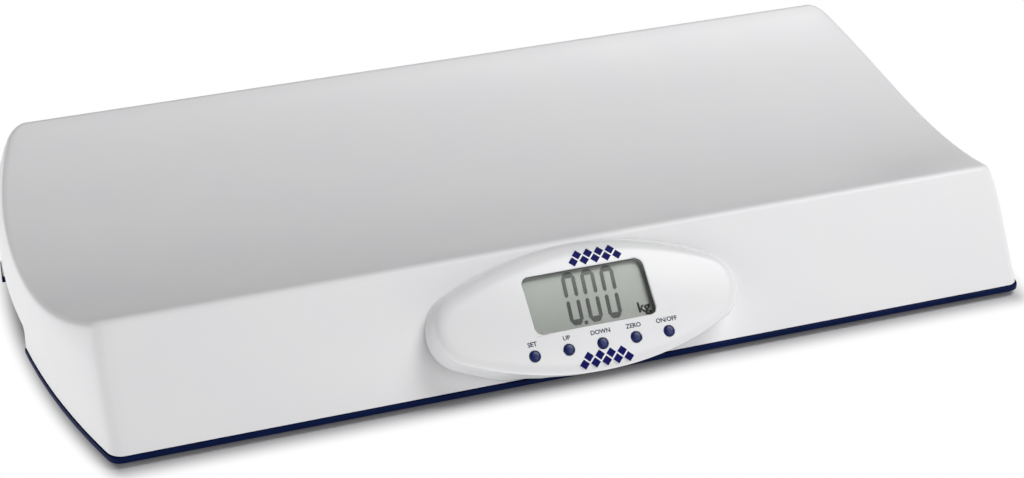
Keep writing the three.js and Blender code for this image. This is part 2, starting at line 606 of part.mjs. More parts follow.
function cutBase(whole, gripVoidTop) {
  let base = whole;
  for (const side of SIDES) {
    base = base.subtract(gripSpace(0, GRIP_DEPTH, 0, gripVoidTop, side));
  }
  for (const [x, y] of FOOT_PLACES) {
    base = base.subtract(rod(FOOT_RADIUS + HEAD_FIT, 0, STRIP_TOP_Z + CUT_OVERRUN, x, y, ROUND_SEGMENTS));
    base = base.subtract(rod(RING_BORE, STRIP_TOP_Z, CELL_UNDERSIDE_Z, x, y, ROUND_SEGMENTS));
    for (const side of SIDES) {
      const pinX = x + side * CELL_PIN_OFFSET;
      const pinY = y + side * CELL_PIN_OFFSET;
      const pinTop = CELL_UNDERSIDE_Z + CELL_THICKNESS + CELL_PIN_HEAD;
      base = base.add(rod(2 * CELL_PIN_RADIUS, STRIP_TOP_Z - CLEARANCE, RING_TOP_Z, pinX, pinY));
      base = base.add(rod(CELL_PIN_RADIUS, RING_TOP_Z - CLEARANCE, pinTop, pinX, pinY));
    }
  }
  for (const [x, y] of SCREW_PLACES) {
    base = base.subtract(rod(SCREW_HEAD_RADIUS + HEAD_FIT, 0, SCREW_SHOULDER_Z, x, y));
    base = base.subtract(rod(SCREW_SHANK_RADIUS + CLEARANCE, 0, FAR, x, y));
  }
  base = base.subtract(block(
    [-BOX_HALF_X, BOX_CENTRE_Y - BOX_HALF_Y, 0],
    [BOX_HALF_X, BOX_CENTRE_Y + BOX_HALF_Y, BOX_ROOF_Z],
  ));
  const socketReach = DOOR_HALF_X + HINGE_PIN_LENGTH + CLEARANCE;
  const sockets = new THREE.Matrix4().makeBasis(Y_AXIS, Z_AXIS, X_AXIS).setPosition(0, HINGE_Y, HINGE_Z);
  return base.subtract(
    rod(HINGE_PIN_RADIUS + CLEARANCE, -socketReach, socketReach, 0, 0, SMALL_SEGMENTS, sockets),
  );
}

// Foot with its flange and post, and the sheet steel cell that it presses on
function foot(x, y) {
  const low = PAD_THICKNESS + CLEARANCE;
  const flangeFoot = STRIP_TOP_Z + CLEARANCE;
  const flangeTop = flangeFoot + FOOT_FLANGE_THICKNESS;
  const top = CELL_UNDERSIDE_Z - FOOT_TRAVEL_GAP;
  return turned([
    [0, low], [FOOT_RADIUS, low], [FOOT_RADIUS, flangeFoot], [FOOT_FLANGE_RADIUS, flangeFoot],
    [FOOT_FLANGE_RADIUS, flangeTop], [FOOT_POST_RADIUS, flangeTop], [FOOT_POST_RADIUS, top], [0, top],
  ], ROUND_SEGMENTS, new THREE.Matrix4().makeTranslation(x, y, 0));
}
function footPad(x, y) {
  return rod(PAD_RADIUS, 0, PAD_THICKNESS, x, y, ROUND_SEGMENTS);
}
function loadCell(x, y) {
  const half = CELL_SIDE / 2;
  const low = -CUT_OVERRUN;
  const high = CELL_THICKNESS + CUT_OVERRUN;
  const place = new THREE.Matrix4().makeTranslation(x, y, CELL_UNDERSIDE_Z);
  const tongueX = CELL_TONGUE_WIDTH / 2;
  const tongueY = CELL_TONGUE_LENGTH / 2;
  let cell = block([-half, -half, 0], [half, half, CELL_THICKNESS], place);
  for (const side of SIDES) {
    const inner = side * tongueX;
    const outer = side * (tongueX + CELL_SLOT_WIDTH);
    const slotLow = [Math.min(inner, outer), -tongueY, low];
    const slotHigh = [Math.max(inner, outer), tongueY, high];
    cell = cell.subtract(block(slotLow, slotHigh, place));
    const pin = side * CELL_PIN_OFFSET;
    cell = cell.subtract(rod(CELL_PIN_RADIUS + CLEARANCE, low, high, pin, pin, SMALL_SEGMENTS, place));
  }
  const endLow = [-tongueX - CELL_SLOT_WIDTH, -tongueY - CELL_SLOT_WIDTH, low];
  const endHigh = [tongueX + CELL_SLOT_WIDTH, -tongueY, high];
  return cell.subtract(block(endLow, endHigh, place));
}
function housingScrew(x, y) {
  const headTop = SCREW_SHOULDER_Z - CLEARANCE;
  const headFoot = headTop - SCREW_HEAD_HEIGHT;
  return turned([
    [0, headFoot], [SCREW_HEAD_RADIUS, headFoot], [SCREW_HEAD_RADIUS, headTop],
    [SCREW_SHANK_RADIUS, headTop], [SCREW_SHANK_RADIUS, headTop + SCREW_LENGTH], [0, headTop + SCREW_LENGTH],
  ], SMALL_SEGMENTS, new THREE.Matrix4().makeTranslation(x, y, 0));
}

// Display pod: crowned face, flared skirt and a neck through the front wall
function displayHousing() {
  const skirt = flaredLens(CLEARANCE, POD_REACH).intersect(belowFace(0)).intersect(aboveLevel(POD_FLOOR_Z));
  const neck = lensPrism(NECK_INSET, -WALL_THICKNESS - NECK_REACH, POD_FLANGE / 2)
    .intersect(aboveLevel(NECK_FLOOR_Z));
  let pod = skirt.add(neck).subtract(podRoom(0));
  const windowShape = roundedRectangle(WINDOW_WIDTH, WINDOW_HEIGHT, WINDOW_CORNER_RADIUS);
  pod = pod.subtract(prism(windowShape, PANE_POCKET_LEVEL - CUT_OVERRUN, CUT_OVERRUN, FACE_FRAME, 1, 3));
  const pocketWidth = WINDOW_WIDTH + 2 * (PANE_MARGIN + CLEARANCE);
  const pocketHeight = WINDOW_HEIGHT + 2 * (PANE_MARGIN + CLEARANCE);
  pod = pod.subtract(faceBlock(pocketWidth, pocketHeight, PANE_POCKET_LEVEL - CUT_OVERRUN, PANE_POCKET_LEVEL));
  for (const x of BUTTON_XS) {
    pod = pod.subtract(
      rod(BUTTON_RADIUS + CLEARANCE, -2 * CUT_OVERRUN, CUT_OVERRUN, x, BUTTON_V, SMALL_SEGMENTS, FACE_FRAME),
    );
  }
  for (const [x, up] of DISPLAY_SCREW_PLACES) {
    const bite = DISPLAY_SCREW_BITE + CLEARANCE;
    pod = pod.subtract(
      rod(DISPLAY_SCREW_RADIUS + CLEARANCE, 0, bite, x, up, SMALL_SEGMENTS, WALL_FRAME),
    );
  }
  return pod;
}
function displayScrew(x, up) {
  const headTop = -WALL_THICKNESS - CLEARANCE;
  const headFoot = headTop - DISPLAY_SCREW_HEAD_HEIGHT;
  return turned([
    [0, headFoot], [DISPLAY_SCREW_HEAD_RADIUS, headFoot], [DISPLAY_SCREW_HEAD_RADIUS, headTop],
    [DISPLAY_SCREW_RADIUS, headTop], [DISPLAY_SCREW_RADIUS, DISPLAY_SCREW_BITE], [0, DISPLAY_SCREW_BITE],
  ], SMALL_SEGMENTS, WALL_FRAME.clone().multiply(new THREE.Matrix4().makeTranslation(x, up, 0)));
}

// What lies behind the window, level by level from the face inwards
const PANE_TOP = PANE_POCKET_LEVEL - CLEARANCE;
const LCD_TOP = PANE_TOP - PANE_THICKNESS - CLEARANCE;
const LCD_UNDERSIDE = LCD_TOP - LCD_THICKNESS;
const LCD_WIDTH = WINDOW_WIDTH + 2 * LCD_MARGIN;
const LCD_HEIGHT = WINDOW_HEIGHT + 2 * LCD_MARGIN;
const BOARD_TOP = BOARD_LEVEL + CLEARANCE;
const SWITCH_TOP = BOARD_TOP + SWITCH_HEIGHT;

function lcdFrame() {
  const fit = 2 * CLEARANCE;
  const wall = 2 * LCD_FRAME_WALL + fit;
  const outer = faceBlock(LCD_WIDTH + wall, LCD_HEIGHT + wall, BOARD_TOP, LCD_TOP - CLEARANCE);
  const seat = faceBlock(LCD_WIDTH + fit, LCD_HEIGHT + fit, LCD_UNDERSIDE - CLEARANCE, CUT_OVERRUN);
  const ledge = 2 * LCD_LEDGE;
  const opening = faceBlock(LCD_WIDTH - ledge, LCD_HEIGHT - ledge, -POD_REACH, CUT_OVERRUN);
  return outer.subtract(seat).subtract(opening).intersect(podRoom(CLEARANCE));
}
function lcdConnector() {
  const v = LCD_LEDGE + CLEARANCE - LCD_HEIGHT / 2 + CONNECTOR_WIDTH / 2;
  const half = CONNECTOR_WIDTH / 2;
  const low = [-CONNECTOR_LENGTH / 2, v - half, BOARD_TOP];
  return block(low, [CONNECTOR_LENGTH / 2, v + half, LCD_UNDERSIDE - CLEARANCE], FACE_FRAME);
}
function displayBoard() {
  const low = [-BOARD_HALF_WIDTH, BOARD_BOTTOM_V, BOARD_LEVEL - BOARD_THICKNESS];
  const high = [BOARD_HALF_WIDTH, BOARD_TOP_V, BOARD_LEVEL];
  return block(low, high, FACE_FRAME).intersect(podRoom(2 * CLEARANCE));
}
function controllerChip() {
  const half = CHIP_SIDE / 2;
  const top = BOARD_LEVEL - BOARD_THICKNESS - CLEARANCE;
  return block([-half, -half, top - CHIP_THICKNESS], [half, half, top], facePlace(0, CHIP_V));
}
function keySwitch(x) {
  const half = SWITCH_SIDE / 2;
  return block([-half, -half, BOARD_TOP], [half, half, SWITCH_TOP], facePlace(x, BUTTON_V));
}
function button(x) {
  const top = faceLevel(x, BUTTON_V) + BUTTON_PROUD;
  const rimX = Math.abs(x) + BUTTON_FLANGE_RADIUS;
  const flangeTop = faceLevel(rimX, BUTTON_V - BUTTON_FLANGE_RADIUS) - POD_WALL - CLEARANCE;
  const flangeFoot = flangeTop - BUTTON_FLANGE_THICKNESS;
  const stemFoot = SWITCH_TOP + BUTTON_STROKE_GAP;
  return turned([
    [0, stemFoot], [BUTTON_STEM_RADIUS, stemFoot], [BUTTON_STEM_RADIUS, flangeFoot],
    [BUTTON_FLANGE_RADIUS, flangeFoot], [BUTTON_FLANGE_RADIUS, flangeTop],
    [BUTTON_RADIUS, flangeTop], [BUTTON_RADIUS, top - BUTTON_DOME],
    [BUTTON_RADIUS - BUTTON_DOME, top - BUTTON_DOME / 4], [0, top],
  ], SMALL_SEGMENTS, facePlace(x, BUTTON_V));
}

// Battery compartment
function batteryDoor() {
  const farY = BOX_CENTRE_Y + BOX_HALF_Y - DOOR_GAP;
  const along = SECTION_FRAME.clone().setPosition(0, HINGE_Y, HINGE_Z);
  const nose = rod(HINGE_NOSE_RADIUS, -DOOR_HALF_X, DOOR_HALF_X, 0, 0, SMALL_SEGMENTS, along);
  const pinReach = DOOR_HALF_X + HINGE_PIN_LENGTH;
  const pin = rod(HINGE_PIN_RADIUS, -pinReach, pinReach, 0, 0, SMALL_SEGMENTS, along);
  const panel = block([-DOOR_HALF_X, HINGE_Y, GROUND_CLEARANCE], [DOOR_HALF_X, farY, DOOR_TOP_Z]);
  const nail = block(
    [-DOOR_NAIL_WIDTH / 2, farY - DOOR_NAIL_LENGTH, 0],
    [DOOR_NAIL_WIDTH / 2, farY + CUT_OVERRUN, GROUND_CLEARANCE + DOOR_NAIL_DEPTH],
  );
  return join(panel, nose, pin).subtract(nail);
}
function batteryX(place) {
  return (place - (CELL_COUNT - 1) / 2) * BATTERY_PITCH;
}
function battery(place) {
  const facing = place % 2 === 0 ? 1 : -1;
  const start = -BATTERY_HALF_LENGTH;
  const shoulder = start + BATTERY_BODY_LENGTH;
  const turn = new THREE.Matrix4().makeRotationX(-facing * Math.PI / 2);
  turn.setPosition(batteryX(place), BOX_CENTRE_Y, BATTERY_Z);
  return turned([
    [0, start], [BATTERY_RADIUS, start], [BATTERY_RADIUS, shoulder],
    [BATTERY_NUB_RADIUS, shoulder], [BATTERY_NUB_RADIUS, -start], [0, -start],
  ], SMALL_SEGMENTS, turn);
}
function contact(firstPlace, lastPlace, side) {
  const near = BATTERY_HALF_LENGTH + CLEARANCE;
  const far = near + CONTACT_THICKNESS;
  const ys = [BOX_CENTRE_Y + side * near, BOX_CENTRE_Y + side * far].sort((a, b) => a - b);
  return block(
    [batteryX(firstPlace) - CONTACT_WIDTH / 2, ys[0], BATTERY_Z - CONTACT_HEIGHT / 2],
    [batteryX(lastPlace) + CONTACT_WIDTH / 2, ys[1], BATTERY_Z + CONTACT_HEIGHT / 2],
  );
}

// Junction board on the base, and the leads that meet at it
const JUNCTION_MIDDLE_Z = JUNCTION_UNDERSIDE_Z + JUNCTION_THICKNESS / 2;
const FLOOR_LEAD_Z = STRIP_TOP_Z + CLEARANCE + LEAD_RADIUS;
function junctionBoard() {
  const halfX = JUNCTION_WIDTH / 2;
  const halfY = JUNCTION_DEPTH / 2;
  return block(
    [-halfX, JUNCTION_Y - halfY, JUNCTION_UNDERSIDE_Z],
    [halfX, JUNCTION_Y + halfY, JUNCTION_UNDERSIDE_Z + JUNCTION_THICKNESS],
  );
}
function lead(points, radius) {
  const stops = points.map((point) => new THREE.Vector3(...point));
  const path = new THREE.CatmullRomCurve3(stops, false, 'catmullrom', LEAD_TENSION);
  const section = new THREE.Shape();
  for (let side = 0; side < LEAD_SIDES; side += 1) {
    const turn = 2 * Math.PI * side / LEAD_SIDES;
    const move = side === 0 ? 'moveTo' : 'lineTo';
    section[move](radius * Math.cos(turn), radius * Math.sin(turn));
  }
  section.closePath();
  return solid(new THREE.ExtrudeGeometry(section, { steps: LEAD_STEPS, extrudePath: path }));
}
function cellLead(x, y) {
  const side = Math.sign(x);
  const rear = y > JUNCTION_Y ? 1 : -1;
  const cellEdge = FOOT_X - CELL_SIDE / 2 - CLEARANCE;
  const cellZ = CELL_UNDERSIDE_Z + CELL_THICKNESS / 2;
  const portX = JUNCTION_WIDTH / 2 + CLEARANCE;
  const portY = JUNCTION_Y + rear * JUNCTION_DEPTH / 4;
  const run = CELL_SIDE / 2;
  return lead([
    [side * cellEdge, y, cellZ],
    [side * (cellEdge - run / 3), y, cellZ],
    [side * (cellEdge - run), y, FLOOR_LEAD_Z],
    [side * (SCREW_X - run), y, FLOOR_LEAD_Z],
    [side * (portX + run), portY, FLOOR_LEAD_Z],
    [side * (portX + run / 3), portY, JUNCTION_MIDDLE_Z],
    [side * portX, portY, JUNCTION_MIDDLE_Z],
  ], LEAD_RADIUS);
}
function displayLead() {
  const x = -JUNCTION_WIDTH / 4;
  const level = BOARD_LEVEL - BOARD_THICKNESS - CLEARANCE;
  const onFace = (depth) => new THREE.Vector3(x, 0, level - depth).applyMatrix4(FACE_FRAME).toArray();
  const portY = JUNCTION_Y - JUNCTION_DEPTH / 2 - CLEARANCE;
  const run = JUNCTION_DEPTH / 3;
  return lead([
    onFace(0),
    onFace(run / 2),
    onFace(2 * run),
    [x, portY - 2 * run, JUNCTION_MIDDLE_Z + run / 2],
    [x, portY - run / 2, JUNCTION_MIDDLE_Z],
    [x, portY, JUNCTION_MIDDLE_Z],
  ], DISPLAY_LEAD_RADIUS);
}
function batteryLead() {
  const x = JUNCTION_WIDTH / 4;
  const near = JUNCTION_Y + JUNCTION_DEPTH / 2 + CLEARANCE;
  const far = BOX_CENTRE_Y - BOX_HALF_Y - BOX_WALL - CLEARANCE;
  const shares = [0, 0.15, 0.4, 0.6, 0.85, 1];
  const sag = [0, 0, 1, 1, 0, 0];
  return lead(shares.map((share, place) => [
    x,
    near + (far - near) * share,
    JUNCTION_MIDDLE_Z + (FLOOR_LEAD_Z - JUNCTION_MIDDLE_Z) * sag[place],
  ]), LEAD_RADIUS);
}

// Colours
function finish(color, roughness, metalness = 0) {
  return () => new THREE.MeshStandardMaterial({ color, roughness, metalness });
}
const FINISHES = {
  white: finish(0xf2f2f3, 0.35),
  navy: finish(0x14265c, 0.4),
  buttonNavy: finish(0x1d3f86, 0.45),
  glass: finish(0xc9d2c8, 0.1),
  lcd: finish(0xaab3a6, 0.25),
  black: finish(0x202124, 0.6),
  board: finish(0x1f6b3a, 0.5),
  steel: finish(0xb9bdc2, 0.35, 0.9),
  rubber: finish(0x3b3d40, 0.9),
  battery: finish(0x8d9399, 0.4, 0.3),
};

const group = new THREE.Group();
function place(name, manifold, finishName) {
  const mesh = new THREE.Mesh(toGeometry(manifold), FINISHES[finishName]());
  mesh.name = name;
  group.add(mesh);
}

place('tray_shell', trayShell(), 'white');
place('base_tray', baseTray(), 'navy');
place('display_housing', displayHousing(), 'white');
place('display_window', faceBlock(
  WINDOW_WIDTH + 2 * PANE_MARGIN,
  WINDOW_HEIGHT + 2 * PANE_MARGIN,
  PANE_TOP - PANE_THICKNESS,
  PANE_TOP,
), 'glass');
place('lcd_glass', faceBlock(LCD_WIDTH, LCD_HEIGHT, LCD_UNDERSIDE, LCD_TOP), 'lcd');
place('lcd_frame', lcdFrame(), 'black');
place('lcd_connector', lcdConnector(), 'rubber');
place('display_board', displayBoard(), 'board');
place('controller_chip', controllerChip(), 'black');
BUTTON_XS.forEach((x, index) => {
  place(`button_${index + 1}`, button(x), 'buttonNavy');
  place(`switch_${index + 1}`, keySwitch(x), 'black');
});
FOOT_PLACES.forEach(([x, y], index) => {
  place(`foot_${index + 1}`, foot(x, y), 'white');
  place(`foot_pad_${index + 1}`, footPad(x, y), 'rubber');
  place(`load_cell_${index + 1}`, loadCell(x, y), 'steel');
  place(`cell_lead_${index + 1}`, cellLead(x, y), 'black');
});
SCREW_PLACES.forEach(([x, y], index) => {
  place(`housing_screw_${index + 1}`, housingScrew(x, y), 'steel');
});
DISPLAY_SCREW_PLACES.forEach(([x, up], index) => {
  place(`display_screw_${index + 1}`, displayScrew(x, up), 'steel');
});
place('battery_door', batteryDoor(), 'navy');
for (let index = 0; index < CELL_COUNT; index += 1) {
  place(`battery_${index + 1}`, battery(index), 'battery');
}
place('contact_plus', contact(0, 0, -1), 'steel');
place('contact_minus', contact(CELL_COUNT - 1, CELL_COUNT - 1, -1), 'steel');
place('contact_link_1', contact(0, 1, 1), 'steel');
place('contact_link_2', contact(1, 2, -1), 'steel');
place('contact_link_3', contact(2, 3, 1), 'steel');
place('junction_board', junctionBoard(), 'board');
place('display_lead', displayLead(), 'black');
place('battery_lead', batteryLead(), 'black');

// The origin is the middle of the footprint
const footprint = new THREE.Box3().setFromObject(group);
group.position.y = -(footprint.min.y + footprint.max.y) / 2;

export default group;
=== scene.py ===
"""Looks of a digital baby weighing scale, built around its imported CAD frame.

Every piece stands in metres in the frame's own coordinates: +Z up, the display pod facing -Y.
"""

import logging
import math
from collections.abc import Callable, Iterable
from dataclasses import dataclass, field
from enum import Enum
from functools import cached_property

import bmesh
import bpy
from bmesh.types import BMEdge, BMesh, BMVert
from bpy.types import Material, Node, NodeSocket, Object, ShaderNodeTree
from mathutils import Matrix, Vector


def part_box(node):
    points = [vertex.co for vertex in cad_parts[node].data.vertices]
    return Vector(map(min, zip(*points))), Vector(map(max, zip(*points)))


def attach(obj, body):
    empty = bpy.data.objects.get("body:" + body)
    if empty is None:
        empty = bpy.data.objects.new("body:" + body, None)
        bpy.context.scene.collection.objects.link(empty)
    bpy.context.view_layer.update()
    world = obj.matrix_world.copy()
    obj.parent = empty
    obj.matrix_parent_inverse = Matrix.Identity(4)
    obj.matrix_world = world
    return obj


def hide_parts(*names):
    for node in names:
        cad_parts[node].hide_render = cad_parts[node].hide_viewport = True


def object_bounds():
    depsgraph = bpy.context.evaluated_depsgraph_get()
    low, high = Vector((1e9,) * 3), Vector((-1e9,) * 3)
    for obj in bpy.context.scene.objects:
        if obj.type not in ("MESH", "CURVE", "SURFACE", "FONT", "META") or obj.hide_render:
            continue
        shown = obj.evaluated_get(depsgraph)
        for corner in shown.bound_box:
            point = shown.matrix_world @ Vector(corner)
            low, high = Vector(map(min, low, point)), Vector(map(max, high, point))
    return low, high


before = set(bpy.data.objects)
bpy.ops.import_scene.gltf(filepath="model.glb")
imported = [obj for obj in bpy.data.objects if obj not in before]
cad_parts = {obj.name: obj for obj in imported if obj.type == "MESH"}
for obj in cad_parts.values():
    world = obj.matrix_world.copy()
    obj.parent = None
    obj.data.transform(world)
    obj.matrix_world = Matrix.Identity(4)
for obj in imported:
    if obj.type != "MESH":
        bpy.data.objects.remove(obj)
CAD_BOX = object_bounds()

LOG = logging.getLogger("baby_scale")
HOUSING_BODY = "housing"

# Metres within which double points are merged, unless a piece has a weld of its own.
MERGE_REACH = 1e-6

# Shared by the finishes that MouldedPlastic builds.
BUMP_STRENGTH = 0.35
COAT_ROUGHNESS = 0.12

# Largest smooth turns, in degrees, and how strongly large faces lead the shading.
CRISP_MOULDING = 34.0
CRISP_SMALL_PART = 40.0
EVEN_WEIGHT = 50

# Facets of each curve in the lettering.
LETTER_FACETS = 4


# Shader nodes


def fill(node: Node, **values: object) -> Node:
    """Sets the inputs of a shader node.

    Args:
        node: The node.
        **values: Input values by name, with underscores for spaces.

    Returns:
        The node.
    """
    for name, value in values.items():
        node.inputs[name.replace("_", " ")].default_value = value
    return node


def add(tree: ShaderNodeTree, kind: str, **values: object) -> Node:
    """Adds a shader node, its kind given without the leading "ShaderNode", and sets its inputs."""
    return fill(tree.nodes.new(f"ShaderNode{kind}"), **values)


def wire(tree: ShaderNodeTree, *ways: tuple[Node, str | int, Node, str | int]) -> None:
    """Links nodes, each way given as a node, its output, the next node and its input."""
    for source, out, target, entry in ways:
        tree.links.new(source.outputs[out], target.inputs[entry])


def spread(tree: ShaderNodeTree, out: tuple[float, float], read: tuple[float, float] = (0.0, 1.0)) -> Node:
    """Adds a node that carries one range of values to another.

    Args:
        tree: The node tree.
        out: What the two ends of the range become.
        read: The two ends of the range that comes in.

    Returns:
        The node, fed through its Value and read at its Result.
    """
    return add(tree, "MapRange", From_Min=read[0], From_Max=read[1], To_Min=out[0], To_Max=out[1])


def colour_mix(tree: ShaderNodeTree) -> Node:
    """Adds a node that mixes two colours.

    Args:
        tree: The node tree.

    Returns:
        The node, fed through its Factor, A and B.
    """
    mix = add(tree, "Mix")
    mix.data_type = "RGBA"
    return mix


def blank_material(name: str) -> tuple[Material, ShaderNodeTree, Node]:
    """Starts a material with nodes.

    Args:
        name: The material's name.

    Returns:
        The material, its node tree and its main shader.
    """
    material = bpy.data.materials.new(name)
    material.use_nodes = True
    tree = material.node_tree
    return material, tree, tree.nodes["Principled BSDF"]


class Effect(Enum):
    """Shader groups that more than one finish uses."""

    MOULDED_GRAIN = "Moulded Grain"
    SOFT_MOTTLE = "Soft Mottle"
    BRUSHED_LINES = "Brushed Lines"


@dataclass
class EffectLibrary:
    """Builds each shader group once and puts copies of it into materials.

    Args:
        built: Groups already made, by effect.
        gloss_scale: Scale of the slow change of gloss in the grain.
        grain_share: Share of the grain itself in that change.
        grain_range: Values of grain and change that give the least and the most gloss.
        mottle_range: Values of the mottle's noise that give the two shades.
        line_stretch: Scale of the brushed lines along X, Y and Z.
    """

    built: dict[Effect, ShaderNodeTree] = field(default_factory=dict)
    gloss_scale: float = 24.0
    grain_share: float = 0.25
    grain_range: tuple[float, float] = (0.35, 0.9)
    mottle_range: tuple[float, float] = (0.3, 0.7)
    line_stretch: tuple[float, float, float] = (0.02, 1.0, 1.0)

    def place(self, tree: ShaderNodeTree, effect: Effect, **values: object) -> Node:
        """Adds a group node to a material and sets its inputs.

        Args:
            tree: The material's node tree.
            effect: Which group to place.
            **values: Input values by name, with underscores for spaces.

        Returns:
            The group node.
        """
        if effect not in self.built:
            makers = {
                Effect.MOULDED_GRAIN: self._moulded_grain,
                Effect.SOFT_MOTTLE: self._soft_mottle,
                Effect.BRUSHED_LINES: self._brushed_lines,
            }
            self.built[effect] = makers[effect]()
        node = add(tree, "Group")
        node.node_tree = self.built[effect]
        return fill(node, **values)

    @staticmethod
    def _blank(
        effect: Effect, inputs: dict[str, float | tuple], outputs: dict[str, str]
    ) -> tuple[ShaderNodeTree, Node, Node]:
        """Starts a group with its sockets.

        Args:
            effect: Which group it is.
            inputs: Default values by input name, a tuple for a colour.
            outputs: Kind of socket by output name.

        Returns:
            The tree, its input node and its output node.
        """
        tree = bpy.data.node_groups.new(effect.value, "ShaderNodeTree")
        for title, default in inputs.items():
            kind = "NodeSocketColor" if isinstance(default, tuple) else "NodeSocketFloat"
            socket = tree.interface.new_socket(title, in_out="INPUT", socket_type=kind)
            socket.default_value = default
        for title, kind in outputs.items():
            tree.interface.new_socket(title, in_out="OUTPUT", socket_type=f"NodeSocket{kind}")
        return tree, tree.nodes.new("NodeGroupInput"), tree.nodes.new("NodeGroupOutput")

    @staticmethod
    def _noise(tree: ShaderNodeTree, scale: float, detail: float) -> Node:
        """Adds a noise texture that reads object coordinates.

        Args:
            tree: The node tree.
            scale: Scale of the noise per metre.
            detail: Number of finer layers.

        Returns:
            The texture node.
        """
        node = add(tree, "TexNoise", Scale=scale, Detail=detail)
        wire(tree, (add(tree, "TexCoord"), "Object", node, "Vector"))
        return node

    def _surface(
        self, effect: Effect, scale: tuple[str, float], detail: float, gloss: tuple[float, float]
    ) -> tuple[ShaderNodeTree, Node, Node]:
        """Starts a group that gives a height and a roughness.

        Args:
            effect: Which group it is.
            scale: Name and default of the input that scales the noise.
            detail: Number of finer layers of the noise.
            gloss: Lowest and highest roughness by default.

        Returns:
            The tree, the noise that gives the height and the range node that gives the roughness.
        """
        title, value = scale
        inputs = {title: value, "Roughness Low": gloss[0], "Roughness High": gloss[1]}
        tree, entry, leave = self._blank(effect, inputs, {"Height": "Float", "Roughness": "Float"})
        texture = self._noise(tree, value, detail)
        levels = spread(tree, gloss)
        wire(
            tree,
            (entry, title, texture, "Scale"),
            (entry, "Roughness Low", levels, "To Min"),
            (entry, "Roughness High", levels, "To Max"),
            (texture, "Fac", leave, "Height"),
            (levels, "Result", leave, "Roughness"),
        )
        return tree, texture, levels

    def _moulded_grain(self) -> ShaderNodeTree:
        """Fine spark-eroded mould texture with a slow change of gloss.

        Returns:
            The group's tree.
        """
        tree, grain, levels = self._surface(Effect.MOULDED_GRAIN, ("Grain Scale", 2600.0), 3.0, (0.3, 0.4))
        slow = self._noise(tree, self.gloss_scale, 2.0)
        mix = add(tree, "Math")
        mix.operation = "MULTIPLY_ADD"
        mix.inputs[1].default_value = self.grain_share
        fill(levels, From_Min=self.grain_range[0], From_Max=self.grain_range[1])
        wire(tree, (grain, "Fac", mix, 0), (slow, "Fac", mix, 2), (mix, 0, levels, "Value"))
        return tree

    def _soft_mottle(self) -> ShaderNodeTree:
        """Slow, faint change between two shades of one colour, as in a filled plastic.

        Returns:
            The group's tree.
        """
        inputs = {"Light": (0.9, 0.9, 0.9, 1.0), "Deep": (0.8, 0.8, 0.8, 1.0), "Scale": 30.0}
        tree, entry, leave = self._blank(Effect.SOFT_MOTTLE, inputs, {"Color": "Color", "Mask": "Float"})
        cloud = self._noise(tree, inputs["Scale"], 4.0)
        fall = spread(tree, (0.0, 1.0), self.mottle_range)
        mix = colour_mix(tree)
        wire(
            tree,
            (entry, "Scale", cloud, "Scale"),
            (cloud, "Fac", fall, "Value"),
            (fall, "Result", mix, "Factor"),
            (entry, "Light", mix, "A"),
            (entry, "Deep", mix, "B"),
            (mix, "Result", leave, "Color"),
            (fall, "Result", leave, "Mask"),
        )
        return tree

    def _brushed_lines(self) -> ShaderNodeTree:
        """Fine lines along X, as rolled and brushed sheet has.

        Returns:
            The group's tree.
        """
        tree, lines, levels = self._surface(Effect.BRUSHED_LINES, ("Line Scale", 900.0), 2.0, (0.25, 0.45))
        stretch = add(tree, "Mapping", Scale=self.line_stretch)
        tree.links.new(lines.inputs["Vector"].links[0].from_socket, stretch.inputs["Vector"])
        wire(tree, (stretch, "Vector", lines, "Vector"), (lines, "Fac", levels, "Value"))
        return tree


EFFECTS = EffectLibrary()


# Finishes


def rgba(red: int, green: int, blue: int) -> tuple[float, float, float, float]:
    """Turns a colour read in display values into a linear one.

    Args:
        red: Red, from 0 to 255.
        green: Green, from 0 to 255.
        blue: Blue, from 0 to 255.

    Returns:
        The linear colour with full alpha.
    """
    def linear(value: int) -> float:
        """Undoes the display curve for one channel."""
        share = value / 255.0
        return share / 12.92 if share <= 0.04045 else ((share + 0.055) / 1.055) ** 2.4
    return linear(red), linear(green), linear(blue), 1.0


